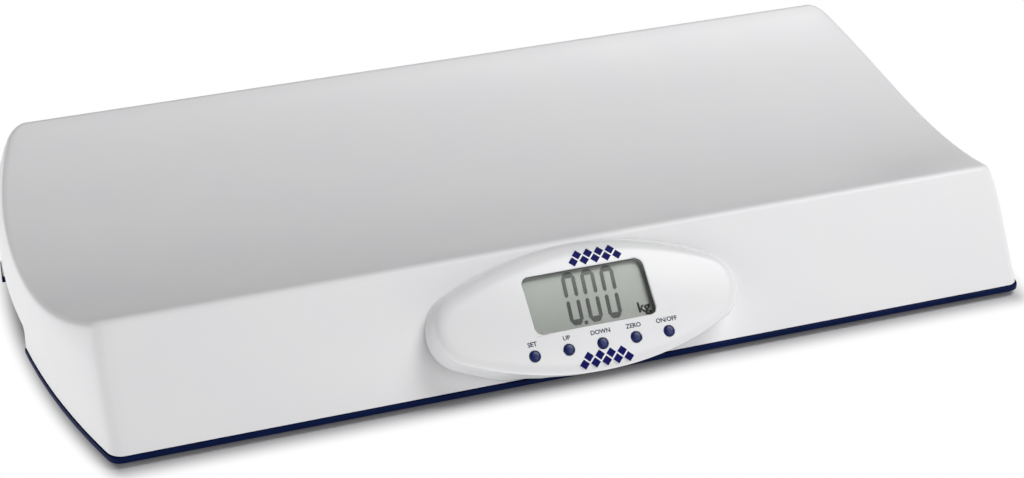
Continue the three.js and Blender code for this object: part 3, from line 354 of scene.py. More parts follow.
@dataclass(frozen=True)
class MouldedPlastic:
    """A moulded or printed finish with grain and a faint mottle.

    Args:
        name: The material's name.
        light: Lighter shade, in display values.
        deep: Deeper shade, in display values.
        roughness: Lowest and highest roughness.
        grain: Grain scale per metre.
        depth: Bump distance of the grain, in metres.
        mottle: Scale of the slow colour change.
        coat: Weight of the clear top layer.
        metallic: How metallic it is.
        shine: Level of the plain highlight.
    """

    name: str
    light: tuple[int, int, int]
    deep: tuple[int, int, int]
    roughness: tuple[float, float] = (0.32, 0.42)
    grain: float = 2600.0
    depth: float = 0.00002
    mottle: float = 22.0
    coat: float = 0.0
    metallic: float = 0.0
    shine: float = 0.5

    def build(self) -> Material:
        """Makes the material, or finds it if it's already made.

        Returns:
            The material.
        """
        if self.name in bpy.data.materials:
            return bpy.data.materials[self.name]
        material, tree, shader = blank_material(self.name)
        light, deep = rgba(*self.light), rgba(*self.deep)
        colour = EFFECTS.place(tree, Effect.SOFT_MOTTLE, Light=light, Deep=deep, Scale=self.mottle)
        grain = self.surface(tree)
        bump = add(tree, "Bump", Strength=BUMP_STRENGTH, Distance=self.depth)
        fill(
            shader, Metallic=self.metallic, Coat_Weight=self.coat, Coat_Roughness=COAT_ROUGHNESS,
            Specular_IOR_Level=self.shine,
        )
        wire(
            tree,
            (colour, "Color", shader, "Base Color"),
            (grain, "Roughness", shader, "Roughness"),
            (grain, "Height", bump, "Height"),
            (bump, "Normal", shader, "Normal"),
        )
        material.diffuse_color = light
        return material

    def surface(self, tree: ShaderNodeTree) -> Node:
        """Places the group that gives the height and the roughness.

        Args:
            tree: The material's node tree.

        Returns:
            The group node.
        """
        low, high = self.roughness
        return EFFECTS.place(
            tree, Effect.MOULDED_GRAIN, Grain_Scale=self.grain, Roughness_Low=low, Roughness_High=high
        )


@dataclass(frozen=True)
class RolledSteel(MouldedPlastic):
    """Sheet or wire steel with fine drawn lines."""

    def surface(self, tree: ShaderNodeTree) -> Node:
        """Places drawn lines instead of moulded grain.

        Args:
            tree: The material's node tree.

        Returns:
            The group node.
        """
        low, high = self.roughness
        return EFFECTS.place(
            tree, Effect.BRUSHED_LINES, Line_Scale=self.grain, Roughness_Low=low, Roughness_High=high
        )


@dataclass(frozen=True)
class ClearAcrylic:
    """The window pane: clear, smooth, with the faintest waviness.

    Args:
        name: The material's name.
        tint: Colour of the pane, in display values.
        roughness: Lowest and highest roughness.
        grain: Scale of the waviness per metre.
        mottle: Scale of the slow colour change.
        bend: How strongly it bends light.
    """

    name: str
    tint: tuple[int, int, int]
    roughness: tuple[float, float] = (0.02, 0.06)
    grain: float = 60.0
    mottle: float = 8.0
    bend: float = 1.45

    def build(self) -> Material:
        """Makes the material.

        Returns:
            The material.
        """
        material, tree, shader = blank_material(self.name)
        tint = rgba(*self.tint)
        low, high = self.roughness
        colour = EFFECTS.place(tree, Effect.SOFT_MOTTLE, Light=tint, Deep=tint, Scale=self.mottle)
        grain = EFFECTS.place(
            tree, Effect.MOULDED_GRAIN, Grain_Scale=self.grain, Roughness_Low=low, Roughness_High=high
        )
        fill(shader, Transmission_Weight=1.0, IOR=self.bend)
        wire(
            tree,
            (colour, "Color", shader, "Base Color"),
            (grain, "Roughness", shader, "Roughness"),
        )
        return material


@dataclass(frozen=True)
class LiquidCrystal:
    """The grey-green reading panel or its ink, lighter towards the top edge as a painted reflection.

    Args:
        name: The material's name.
        low: Colour at the bottom edge, in display values.
        high: Colour at the top edge, in display values.
        edges_z: Heights of the bottom and the top edge, in metres.
        roughness: Lowest and highest roughness.
        grain: Grain scale per metre.
    """

    name: str
    low: tuple[int, int, int]
    high: tuple[int, int, int]
    edges_z: tuple[float, float]
    roughness: tuple[float, float] = (0.28, 0.36)
    grain: float = 900.0

    def build(self) -> Material:
        """Makes the material.

        Returns:
            The material.
        """
        material, tree, shader = blank_material(self.name)
        # Painted reflection: the colour grows lighter from the bottom edge up to the top edge.
        split = add(tree, "SeparateXYZ")
        rise = spread(tree, (0.0, 1.0), self.edges_z)
        mix = fill(colour_mix(tree), A=rgba(*self.low), B=rgba(*self.high))
        low, high = self.roughness
        grain = EFFECTS.place(
            tree, Effect.MOULDED_GRAIN, Grain_Scale=self.grain, Roughness_Low=low, Roughness_High=high
        )
        wire(
            tree,
            (add(tree, "TexCoord"), "Object", split, "Vector"),
            (split, "Z", rise, "Value"),
            (rise, "Result", mix, "Factor"),
            (mix, "Result", shader, "Base Color"),
            (grain, "Roughness", shader, "Roughness"),
        )
        return material


Finish = MouldedPlastic | ClearAcrylic | LiquidCrystal

WHITE_HOUSING = MouldedPlastic(
    "White Housing", (240, 240, 241), (238, 238, 240), (0.34, 0.42), depth=0.000012, shine=0.35
)
WHITE_POD = MouldedPlastic(
    "White Pod", (242, 242, 243), (240, 240, 242), (0.22, 0.3), depth=0.000006, coat=0.04, shine=0.3
)
NAVY_BASE = MouldedPlastic(
    "Navy Base", (3, 22, 68), (2, 19, 60), (0.45, 0.58), depth=0.00003, mottle=60.0, shine=0.08
)
NAVY_BUTTON = MouldedPlastic(
    "Navy Button", (14, 34, 98), (11, 30, 90), (0.25, 0.35), depth=0.00001, mottle=300.0, shine=0.35
)
NAVY_PRINT = MouldedPlastic(
    "Navy Print", (10, 14, 98), (7, 11, 90), (0.5, 0.6), depth=0.000004, mottle=200.0, shine=0.1
)
LEGEND_PRINT = MouldedPlastic(
    "Legend Print", (26, 34, 78), (22, 30, 70), (0.4, 0.5), depth=0.000004, mottle=200.0
)
BLACK_PLASTIC = MouldedPlastic("Black Plastic", (34, 35, 38), (27, 28, 31), (0.45, 0.6), mottle=80.0)
# Painted shade: the dark grey of the thin lining on the walls of the window opening.
SHADE_LINING_GREY = MouldedPlastic(
    "Shade Lining Grey", (78, 80, 82), (68, 70, 72), (0.6, 0.75), grain=1500.0, depth=0.00003, mottle=120.0
)
FOOT_PLASTIC = MouldedPlastic("Foot Plastic", (214, 216, 219), (205, 207, 211), (0.4, 0.5), mottle=60.0)
RUBBER = MouldedPlastic(
    "Grey Rubber", (62, 63, 66), (52, 53, 56), (0.75, 0.9), grain=1500.0, depth=0.00008, mottle=60.0
)
CIRCUIT_GREEN = MouldedPlastic(
    "Circuit Green", (30, 100, 58), (22, 82, 46), (0.3, 0.5), grain=1800.0, depth=0.00001, mottle=160.0,
    coat=0.3,
)
LEAD_COVER = MouldedPlastic(
    "Lead Cover", (40, 41, 44), (32, 33, 36), (0.45, 0.6), grain=1200.0, depth=0.00003, mottle=90.0
)
BATTERY_WRAP = MouldedPlastic(
    "Battery Wrap", (120, 130, 146), (104, 114, 132), (0.2, 0.32), grain=600.0, depth=0.00001, mottle=40.0,
    coat=0.4, metallic=0.4,
)
WINDOW_PANE = ClearAcrylic("Window Pane", (250, 251, 250))
# The panel and its ink grow lighter towards their top edges: a painted reflection.
READING_PANEL = LiquidCrystal("Reading Panel", (126, 129, 124), (148, 152, 147), (0.036, 0.058))
READING_INK = LiquidCrystal("Reading Ink", (16, 20, 18), (78, 82, 79), (0.044, 0.058))
STEEL = RolledSteel(
    "Plated Steel", (196, 199, 203), (182, 185, 190), (0.24, 0.42), grain=1400.0, depth=0.00001,
    mottle=70.0, metallic=1.0,
)


# Mesh work


def linked(name: str, data: bpy.types.ID) -> Object:
    """Makes an object of some data and links it to the scene.

    Args:
        name: The object's name.
        data: Its mesh, curve, lamp or camera data.

    Returns:
        The object.
    """
    piece = bpy.data.objects.new(name, data)
    bpy.context.scene.collection.objects.link(piece)
    return piece


def as_object(name: str, bm: BMesh) -> Object:
    """Turns a bmesh into a linked object and frees it.

    Args:
        name: The object's name.
        bm: The mesh.

    Returns:
        The object.
    """
    mesh = bpy.data.meshes.new(name)
    bm.to_mesh(mesh)
    bm.free()
    return linked(name, mesh)


def opened(source: Object, merge: float = MERGE_REACH) -> BMesh:
    """Copies an object's mesh into a bmesh.

    Args:
        source: The object.
        merge: Reach within which double points are merged.

    Returns:
        The copy.
    """
    bm = bmesh.new()
    bm.from_mesh(source.data)
    bmesh.ops.remove_doubles(bm, verts=bm.verts, dist=merge)
    return bm


def put_back(piece: Object, bm: BMesh) -> None:
    """Writes a bmesh into a piece and frees it."""
    bm.to_mesh(piece.data)
    bm.free()


def shade(bm: BMesh, angle: float) -> None:
    """Smooths all faces and keeps edges sharper than an angle crisp.

    Args:
        bm: The mesh to shade.
        angle: Largest smooth turn between two faces, in degrees.
    """
    limit = math.radians(angle)
    for face in bm.faces:
        face.smooth = True
    for edge in bm.edges:
        edge.smooth = len(edge.link_faces) == 2 and edge.calc_face_angle(math.pi) < limit


def reshade(piece: Object, angle: float) -> None:
    """Shades a piece again after cuts.

    Args:
        piece: The piece.
        angle: Largest smooth turn between two faces, in degrees.
    """
    bm = opened(piece)
    shade(bm, angle)
    put_back(piece, bm)


def settle(piece: Object) -> None:
    """Puts the result of a piece's modifiers into its mesh.

    Args:
        piece: The piece.
    """
    graph = bpy.context.evaluated_depsgraph_get()
    graph.update()
    settled = bpy.data.meshes.new_from_object(piece.evaluated_get(graph))
    piece.modifiers.clear()
    old = piece.data
    piece.data = settled
    bpy.data.meshes.remove(old)


def thicken(piece: Object, wall: float) -> None:
    """Gives an open skin a wall on its inner side.

    Args:
        piece: The skin.
        wall: Thickness of the wall.
    """
    solidify = piece.modifiers.new("Wall", "SOLIDIFY")
    solidify.thickness = wall
    solidify.offset = -1.0
    solidify.use_even_offset = True
    solidify.thickness_clamp = 0.0
    settle(piece)


def cut_away(piece: Object, tools: list[BMesh]) -> None:
    """Cuts closed tools out of a piece, one after another.

    Args:
        piece: The piece to cut.
        tools: Closed meshes, freed once used.
    """
    for tool in tools:
        cutter = as_object("cutter", tool)
        cut = piece.modifiers.new("Cut", "BOOLEAN")
        cut.operation = "DIFFERENCE"
        cut.solver = "EXACT"
        cut.object = cutter
        settle(piece)
        mesh = cutter.data
        bpy.data.objects.remove(cutter)
        bpy.data.meshes.remove(mesh)


def even_normals(piece: Object) -> None:
    """Lets large faces lead the shading, so that cuts leave no streaks.

    Args:
        piece: The piece.
    """
    even = piece.modifiers.new("Even Normals", "WEIGHTED_NORMAL")
    even.keep_sharp = True
    even.weight = EVEN_WEIGHT


def round_off(bm: BMesh, edges: list[BMEdge], offset: float, segments: int, clamp: bool = False) -> None:
    """Rounds edges of a mesh.

    Args:
        bm: The mesh.
        edges: The edges to round.
        offset: How far the rounding starts from the edge.
        segments: Facets across the rounding.
        clamp: Whether the rounding stops where it meets another.
    """
    bmesh.ops.bevel(
        bm, geom=edges, offset=offset, offset_type="OFFSET", segments=segments, profile=0.5,
        affect="EDGES", clamp_overlap=clamp, material=-1,
    )


def raised(bm: BMesh, rise: float = 0.0) -> list[BMVert]:
    """Gives a flat mesh a thickness.

    Args:
        bm: The flat mesh.
        rise: How far its copy is lifted.

    Returns:
        The points of the lifted copy.
    """
    made = bmesh.ops.extrude_face_region(bm, geom=list(bm.faces))["geom"]
    top = [part for part in made if isinstance(part, BMVert)]
    bmesh.ops.translate(bm, verts=top, vec=(0.0, 0.0, rise))
    return top


def finished(bm: BMesh, place: Matrix) -> BMesh:
    """Turns a mesh's faces outwards and carries it to its place.

    Args:
        bm: The closed mesh.
        place: The frame that it goes to.

    Returns:
        The same mesh.
    """
    bmesh.ops.recalc_face_normals(bm, faces=bm.faces)
    bmesh.ops.transform(bm, matrix=place, verts=bm.verts)
    return bm


def rounded_plate(
    width: float, height: float, radius: float, low: float, high: float, place: Matrix, segments: int = 6
) -> BMesh:
    """Makes a plate with rounded corners between two levels of a local frame.

    Args:
        width: Size along local X.
        height: Size along local Y.
        radius: Corner radius.
        low: Lower level along local Z.
        high: Upper level along local Z.
        place: The local frame.
        segments: Facets in each corner.

    Returns:
        The closed plate.
    """
    bm = bmesh.new()
    bmesh.ops.create_grid(bm, x_segments=1, y_segments=1, size=0.5)
    bmesh.ops.scale(bm, vec=(width, height, 1.0), verts=bm.verts)
    if radius > 0.0:
        bmesh.ops.bevel(
            bm, geom=list(bm.verts), offset=radius, offset_type="OFFSET", segments=segments,
            profile=0.5, affect="VERTICES", material=-1,
        )
    raised(bm, high - low)
    bmesh.ops.translate(bm, verts=bm.verts, vec=(0.0, 0.0, low))
    return finished(bm, place)


def turned(profile: list[tuple[float, float]], place: Matrix, steps: int) -> BMesh:
    """Turns a profile of radius and height round local Z.

    Args:
        profile: Radius and height of each point, from the axis back to the axis.
        place: The local frame.
        steps: Facets round the axis.

    Returns:
        The closed turned piece.
    """
    bm = bmesh.new()
    points = [bm.verts.new((radius, 0.0, height)) for radius, height in profile]
    edges = [bm.edges.new(pair) for pair in zip(points, points[1:])]
    bmesh.ops.spin(
        bm, geom=points + edges, cent=(0, 0, 0), axis=(0, 0, 1), angle=math.tau,
        steps=steps, use_merge=True, use_duplicate=False,
    )
    bmesh.ops.remove_doubles(bm, verts=bm.verts, dist=MERGE_REACH)
    return finished(bm, place)


def joined(parts: list[BMesh]) -> BMesh:
    """Puts several meshes into one and frees them.

    Args:
        parts: The meshes.

    Returns:
        The one mesh.
    """
    whole = bmesh.new()
    for part in parts:
        mesh = bpy.data.meshes.new("part")
        part.to_mesh(mesh)
        part.free()
        whole.from_mesh(mesh)
        bpy.data.meshes.remove(mesh)
    return whole


def middle_of(name: str) -> tuple[float, float]:
    """Middle of a frame node's box, across and along."""
    low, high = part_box(name)
    return (low.x + high.x) / 2, (low.y + high.y) / 2


def paint(piece: Object, material: Material) -> None:
    """Gives a piece one material."""
    piece.data.materials.clear()
    piece.data.materials.append(material)


def dress(
    piece: Object, finish: Finish, body: str = HOUSING_BODY, nodes: tuple[str, ...] = ()
) -> Object:
    """Gives a piece its finish and its body, and hides the frame nodes that it stands for.

    Args:
        piece: The finished piece.
        finish: Its finish.
        body: The body that it rides on.
        nodes: Frame nodes that it replaces.

    Returns:
        The piece.
    """
    paint(piece, finish.build())
    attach(piece, body)
    if nodes:
        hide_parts(*nodes)
    LOG.info("piece %s on %s, %d faces", piece.name, body, len(piece.data.polygons))
    return piece


# The housing's form


@dataclass
class HousingForm:
    """The leaning walls and the trough, with the frame's own sizes.

    Lengths are in metres, counted from the front edge of the base and from the floor.
    """

    half_length: float = 0.2793
    bow_radius: float = 0.603
    depth: float = 0.248
    bow_centre_share: float = 0.5444
    trough_centre_share: float = 0.4718
    trough_radius: float = 0.210
    trough_floor: float = 0.0509
    strip_top: float = 0.0062
    strip_proud: float = 0.0007
    front_slope: float = 0.0363 / 0.0608
    back_slope: float = 0.0047 / 0.0868
    curl_start: float = 0.043
    curl_top: float = 0.093
    curl_inset: float = 0.0144
    face_centre: tuple[float, float] = (0.0053, 0.0468)
    face_tilt: float = math.radians(44.5)
    edge_rounds: int = 40

    @cached_property
    def front_y(self) -> float:
        """Where the front edge of the base lies in the frame."""
        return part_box("base_tray")[1].y - self.strip_proud - self.depth

    def end_x(self, y: float) -> float:
        """Half length of the foot outline at a depth."""
        centre = self.depth * self.bow_centre_share
        return self.half_length - self.bow_radius + math.sqrt(self.bow_radius**2 - (y - centre) ** 2)

    def trough_z(self, y: float) -> float:
        """Height of the trough at a depth."""
        away = y - self.depth * self.trough_centre_share
        return self.trough_floor + self.trough_radius - math.sqrt(self.trough_radius**2 - away**2)

    def curl_share(self, z: float) -> float:
        """Share of the half length that is left at a height."""
        rise = max(z - self.curl_start, 0.0) / (self.curl_top - self.curl_start)
        return 1.0 - self.curl_inset * rise**2 / self.half_length

    def foot_y(self, y: float, z: float) -> float:
        """Follows the wall line that passes a point down to its foot.

        Args:
            y: The point's depth.
            z: The point's height.

        Returns:
            The depth at the foot.
        """
        rise = z - self.strip_top
        narrowing = rise * (self.front_slope + self.back_slope) / self.depth
        return (y - rise * self.front_slope) / (1.0 - narrowing)

    def lean(self, x: float, y: float, z: float) -> Vector:
        """Carries a point of the foot outline up its wall line.

        Args:
            x: Across, at the foot.
            y: Depth, at the foot.
            z: The height to reach.

        Returns:
            The point at that height.
        """
        rise = z - self.strip_top
        share = y / self.depth
        shift = rise * (self.front_slope * (1.0 - share) - self.back_slope * share)
        return Vector((x * self.curl_share(z), y + shift, z))

    def edge_y(self, share: float) -> float:
        """Finds where a wall meets the trough.

        Args:
            share: 0 for the front wall, 1 for the back wall.

        Returns:
            The depth of that edge.
        """
        y = self.depth * share
        for _ in range(self.edge_rounds):
            y = self.lean(0.0, self.depth * share, self.trough_z(y)).y
        return y

    def wall_frame(self) -> Matrix:
        """Frame on the front wall: X, up the wall, outwards."""
        up = Vector((0.0, self.front_slope, 1.0)).normalized()
        return self._frame(Vector((0.0, self.front_y, self.strip_top)), up)

    def face_frame(self, x: float = 0.0, v: float = 0.0, level: float = 0.0) -> Matrix:
        """Frame on the pod's face.

        Args:
            x: Move across the face.
            v: Move up the face.
            level: Move out of the face.

        Returns:
            The frame: X, up the face, outwards.
        """
        up = Vector((0.0, math.cos(self.face_tilt), math.sin(self.face_tilt)))
        origin = Vector((0.0, self.front_y + self.face_centre[0], self.face_centre[1]))
        return self._frame(origin, up) @ Matrix.Translation((x, v, level))

    @staticmethod
    def _frame(origin: Vector, up: Vector) -> Matrix:
        """Builds a frame.

        Args:
            origin: Where it stands.
            up: Its second axis, of length one and square to X.

        Returns:
            The frame.
        """
        across = Vector((1.0, 0.0, 0.0))
        out = across.cross(up)
        matrix = Matrix((across, up, out)).transposed().to_4x4()
        matrix.translation = origin
        return matrix


FORM = HousingForm()


@dataclass
class PodForm:
    """Outline and crown of the display pod, in metres."""

    half_length: float = 0.087
    half_height: float = 0.0353
    tip: float = 0.020
    drop: float = 0.006
    crown: float = 0.003
    edge_drop: float = 0.002
    flare: float = 0.0026
    flare_height: float = 0.011
    floor_z: float = 0.008
    first_rise: float = 0.02
    rise_rounds: int = 30

    def place(self) -> Matrix:
        """Finds the pod's frame on the wall.

        Returns:
            The frame: X, up the wall, outwards.
        """
        wall = FORM.wall_frame()
        centre = wall.inverted() @ FORM.face_frame(0.0, -self.drop, -self.edge_drop).translation
        return wall @ Matrix.Translation((0.0, centre.y, 0.0))

    @cached_property
    def wall_half_height(self) -> float:
        """Half height of the outline measured up the wall."""
        return self.half_height * FORM.wall_frame().col[1].xyz.dot(FORM.face_frame().col[1].xyz)

    def outline(self, turn: float, inset: float) -> tuple[float, float]:
        """Point of the outline in one direction.

        Args:
            turn: Direction as an ellipse angle.
            inset: Distance that the outline is drawn in.

        Returns:
            Across and up from the pod's centre.
        """
        height = self.wall_half_height
        reach = self.half_length**2 - 2 * self.half_length * self.tip + height**2
        radius = reach / (2 * (height - self.tip))
        below = radius - height
        tip_x = self.half_length - self.tip
        way = Vector((self.half_length * math.cos(turn), height * abs(math.sin(turn))))
        long_share = self._meet(way, Vector((0.0, -below)), radius - inset)
        corner = tip_x + (self.tip - inset) * math.cos(math.atan2(below, tip_x))
        if abs(way.x) * long_share > corner:
            centre = Vector((math.copysign(tip_x, way.x), 0.0))
            long_share = self._meet(way, centre, self.tip - inset)
        return way.x * long_share, math.copysign(way.y * long_share, math.sin(turn))

    @staticmethod
    def _meet(way: Vector, centre: Vector, radius: float) -> float:
        """Finds where a direction leaves a circle.

        Args:
            way: The direction, from the pod's centre.
            centre: The circle's centre.
            radius: The circle's radius.

        Returns:
            The share of the direction's length at that point.
        """
        along = way.dot(centre)
        size = way.dot(way)
        return (along + math.sqrt(along**2 - size * (centre.dot(centre) - radius**2))) / size

    def level(self, x: float, v: float) -> float:
        """Height of the crown above the face plane."""
        out = (x / self.half_length) ** 2 + ((v + self.drop) / self.half_height) ** 2
        return self.crown * (1.0 - out) - self.edge_drop

    def rise_to_face(self, x: float, up: float) -> float:
        """Measures from the wall to the crown, straight out from the wall.

        Args:
            x: Across, from the pod's centre.
            up: Up the wall, from the pod's centre.

        Returns:
            The distance.
        """
        to_face = FORM.face_frame().inverted() @ self.place()
        rise = self.first_rise
        for _ in range(self.rise_rounds):
            at = to_face @ Vector((x, up, rise))
            rise -= at.z - self.level(at.x, at.y)
        return rise


POD = PodForm()


@dataclass
class TrayShell:
    """White housing: bowed ends, leaning walls, trough, rolled lip and crests."""

    columns: int = 44
    rows: int = 26
    crest_depth: float = 0.005
    curl_shares: tuple[float, ...] = (0.0, 0.25, 0.5, 0.75, 1.0)
    lower_levels: tuple[float, ...] = (0.034, 0.026, 0.0125, 0.0067)
    # Turns above which an edge counts as a plan corner's or as the upper one.
    sharp_turns: tuple[float, float] = (math.radians(45), math.radians(40))
    corner: float = 0.0058
    corner_segments: int = 5
    lip: float = 0.0038
    lip_segments: int = 6
    weld: float = 1e-5
    wall: float = 0.003
    highest: float = CAD_BOX[1][2] - 0.00001
    grip_front: float = 0.134
    grip_length: float = 0.089
    grip_top: float = 0.0184
    grip_corner: float = 0.005
    grip_x: float = 0.2843
    grip_reach: float = 0.017
    neck_inset: float = 0.0037
    neck_levels: tuple[float, float] = (-0.008, 0.003)
    neck_floor: float = 0.0127
    neck_segments: int = 64
    post_places: tuple[tuple[float, float], ...] = (
        (0.150, 0.050), (0.150, 0.222), (0.060, 0.226),
    )
    post_radii: tuple[float, float] = (0.002, 0.004)
    post_foot: float = 0.0203
    post_sink: float = 0.0012
    post_segments: int = 20

    def build(self) -> None:
        """Makes the shell and dresses it."""
        bm = self._top()
        self._walls(bm)
        self._round_edges(bm)
        bmesh.ops.translate(bm, verts=bm.verts, vec=(0.0, FORM.front_y, 0.0))
        bmesh.ops.recalc_face_normals(bm, faces=bm.faces)
        piece = as_object("tray_shell_skin", bm)
        thicken(piece, self.wall)
        for vert in piece.data.vertices:
            vert.co.z = min(max(vert.co.z, self.lower_levels[-1]), self.highest)
        cut_away(piece, [self._grip(-1.0), self._grip(1.0), self._neck_opening()])
        self._add_posts(piece)
        reshade(piece, CRISP_MOULDING)
        dress(piece, WHITE_HOUSING, nodes=("tray_shell",))

    def _top(self) -> BMesh:
        """Lays a grid over the trough, out to the sharp upper edges.

        Returns:
            The open grid, with a layer that holds each point's height.
        """
        bm = bmesh.new()
        bmesh.ops.create_grid(bm, x_segments=self.columns, y_segments=self.rows, size=0.5)
        low, high = FORM.edge_y(0.0), FORM.edge_y(1.0)
        top = bm.verts.layers.float.new("top")
        for vert in bm.verts:
            y = low + (high - low) * (vert.co.y + 0.5)
            z = FORM.trough_z(y)
            end = FORM.end_x(FORM.foot_y(y, z)) * FORM.curl_share(z)
            vert.co = Vector((2.0 * vert.co.x * end, y, z))
            vert[top] = z
        return bm

    def _walls(self, bm: BMesh) -> None:
        """Draws the upper edges down the leaning walls, ring by ring.

        Args:
            bm: The mesh, with a layer that holds the height of the upper edge.
        """
        top = bm.verts.layers.float["top"]
        rim = [edge for edge in bm.edges if edge.is_boundary]
        rings = [(share, 0.0) for share in self.curl_shares]
        rings += [(0.0, level) for level in self.lower_levels]
        for share, level in rings:
            made = bmesh.ops.extrude_edge_only(bm, edges=rim)["geom"]
            rim = [part for part in made if isinstance(part, BMEdge) and part.is_boundary]
            for vert in {vert for edge in rim for vert in edge.verts}:
                foot_y = FORM.foot_y(vert.co.y, vert.co.z)
                foot_x = vert.co.x / FORM.curl_share(vert.co.z)
                crest = vert[top] - self.crest_depth
                z = level or crest + (FORM.curl_start - crest) * share
                vert.co = FORM.lean(foot_x, foot_y, z)

    def _round_edges(self, bm: BMesh) -> None:
        """Rounds the four plan corners, then the whole upper edge.

        Args:
            bm: The mesh.
        """
        bmesh.ops.recalc_face_normals(bm, faces=bm.faces)
        corner_turn, lip_turn = self.sharp_turns
        corners = [edge for edge in self._sharp(bm, corner_turn) if self._falls(edge)]
        round_off(bm, corners, self.corner, self.corner_segments)
        bmesh.ops.remove_doubles(bm, verts=bm.verts, dist=self.weld)
        upper = [
            edge for edge in self._sharp(bm, lip_turn)
            if min(vert.co.z for vert in edge.verts) > FORM.curl_start
        ]
        round_off(bm, upper, self.lip, self.lip_segments)
        bmesh.ops.remove_doubles(bm, verts=bm.verts, dist=self.weld)

    @staticmethod
    def _sharp(bm: BMesh, turn: float) -> list[BMEdge]:
        """Edges at which the mesh turns by more than an angle."""
        inner = [edge for edge in bm.edges if len(edge.link_faces) == 2]
        return [edge for edge in inner if edge.calc_face_angle(0.0) > turn]

    @staticmethod
    def _falls(edge: BMEdge, drift: float = 0.004, drop: float = 0.002, slip: float = 0.001) -> bool:
        """Tells whether an edge runs down a corner of the walls.

        Args:
            edge: The edge.
            drift: How far it may move across.
            drop: How far it must fall.
            slip: How far its foot may move in depth.

        Returns:
            True for a corner's edge.
        """
        first, last = (vert.co for vert in edge.verts)
        feet = [FORM.foot_y(point.y, point.z) for point in (first, last)]
        upright = abs(first.x - last.x) < drift and abs(first.z - last.z) > drop
        return upright and abs(feet[0] - feet[1]) < slip

    def _grip(self, side: float) -> BMesh:
        """Space of one grip notch through the end wall.

        Args:
            side: -1 for the left end, 1 for the right end.

        Returns:
            The closed space.
        """
        middle = FORM.front_y + self.grip_front + self.grip_length / 2
        height = self.grip_top + 2 * self.grip_corner
        turn = Matrix(((0, 0, 1), (1, 0, 0), (0, 1, 0))).to_4x4()
        place = Matrix.Translation((side * self.grip_x, middle, self.grip_top - height / 2)) @ turn
        reach = self.grip_reach
        return rounded_plate(self.grip_length, height, self.grip_corner, -reach, reach, place)

    def _neck_opening(self) -> BMesh:
        """Makes the space for the pod's neck through the front wall.

        Returns:
            The closed space.
        """
        bm = bmesh.new()
        bmesh.ops.create_circle(bm, cap_ends=True, segments=self.neck_segments, radius=1.0)
        top = set(raised(bm))
        low, high = self.neck_levels
        place = POD.place()
        for vert in bm.verts:
            x, up = POD.outline(math.atan2(vert.co.y, vert.co.x), self.neck_inset)
            vert.co = place @ Vector((x, up, high if vert in top else low))
            vert.co.z = max(vert.co.z, self.neck_floor)
        bmesh.ops.recalc_face_normals(bm, faces=bm.faces)
        return bm

    def _add_posts(self, piece: Object) -> None:
        """Adds the screw posts that hang inside under the trough.

        Args:
            piece: The shell.
        """
        inner, outer = self.post_radii
        foot = self.post_foot
        posts = []
        for x, y in self.post_places:
            top = min(FORM.trough_z(y - outer), FORM.trough_z(y + outer)) - self.post_sink
            profile = [(inner, foot), (outer, foot), (outer, top), (inner, top), (inner, foot)]
            for side in (-1.0, 1.0):
                place = Matrix.Translation((side * x, FORM.front_y + y, 0.0))
                posts.append(turned(profile, place, self.post_segments))
        bm = joined(posts)
        bm.from_mesh(piece.data)
        put_back(piece, bm)


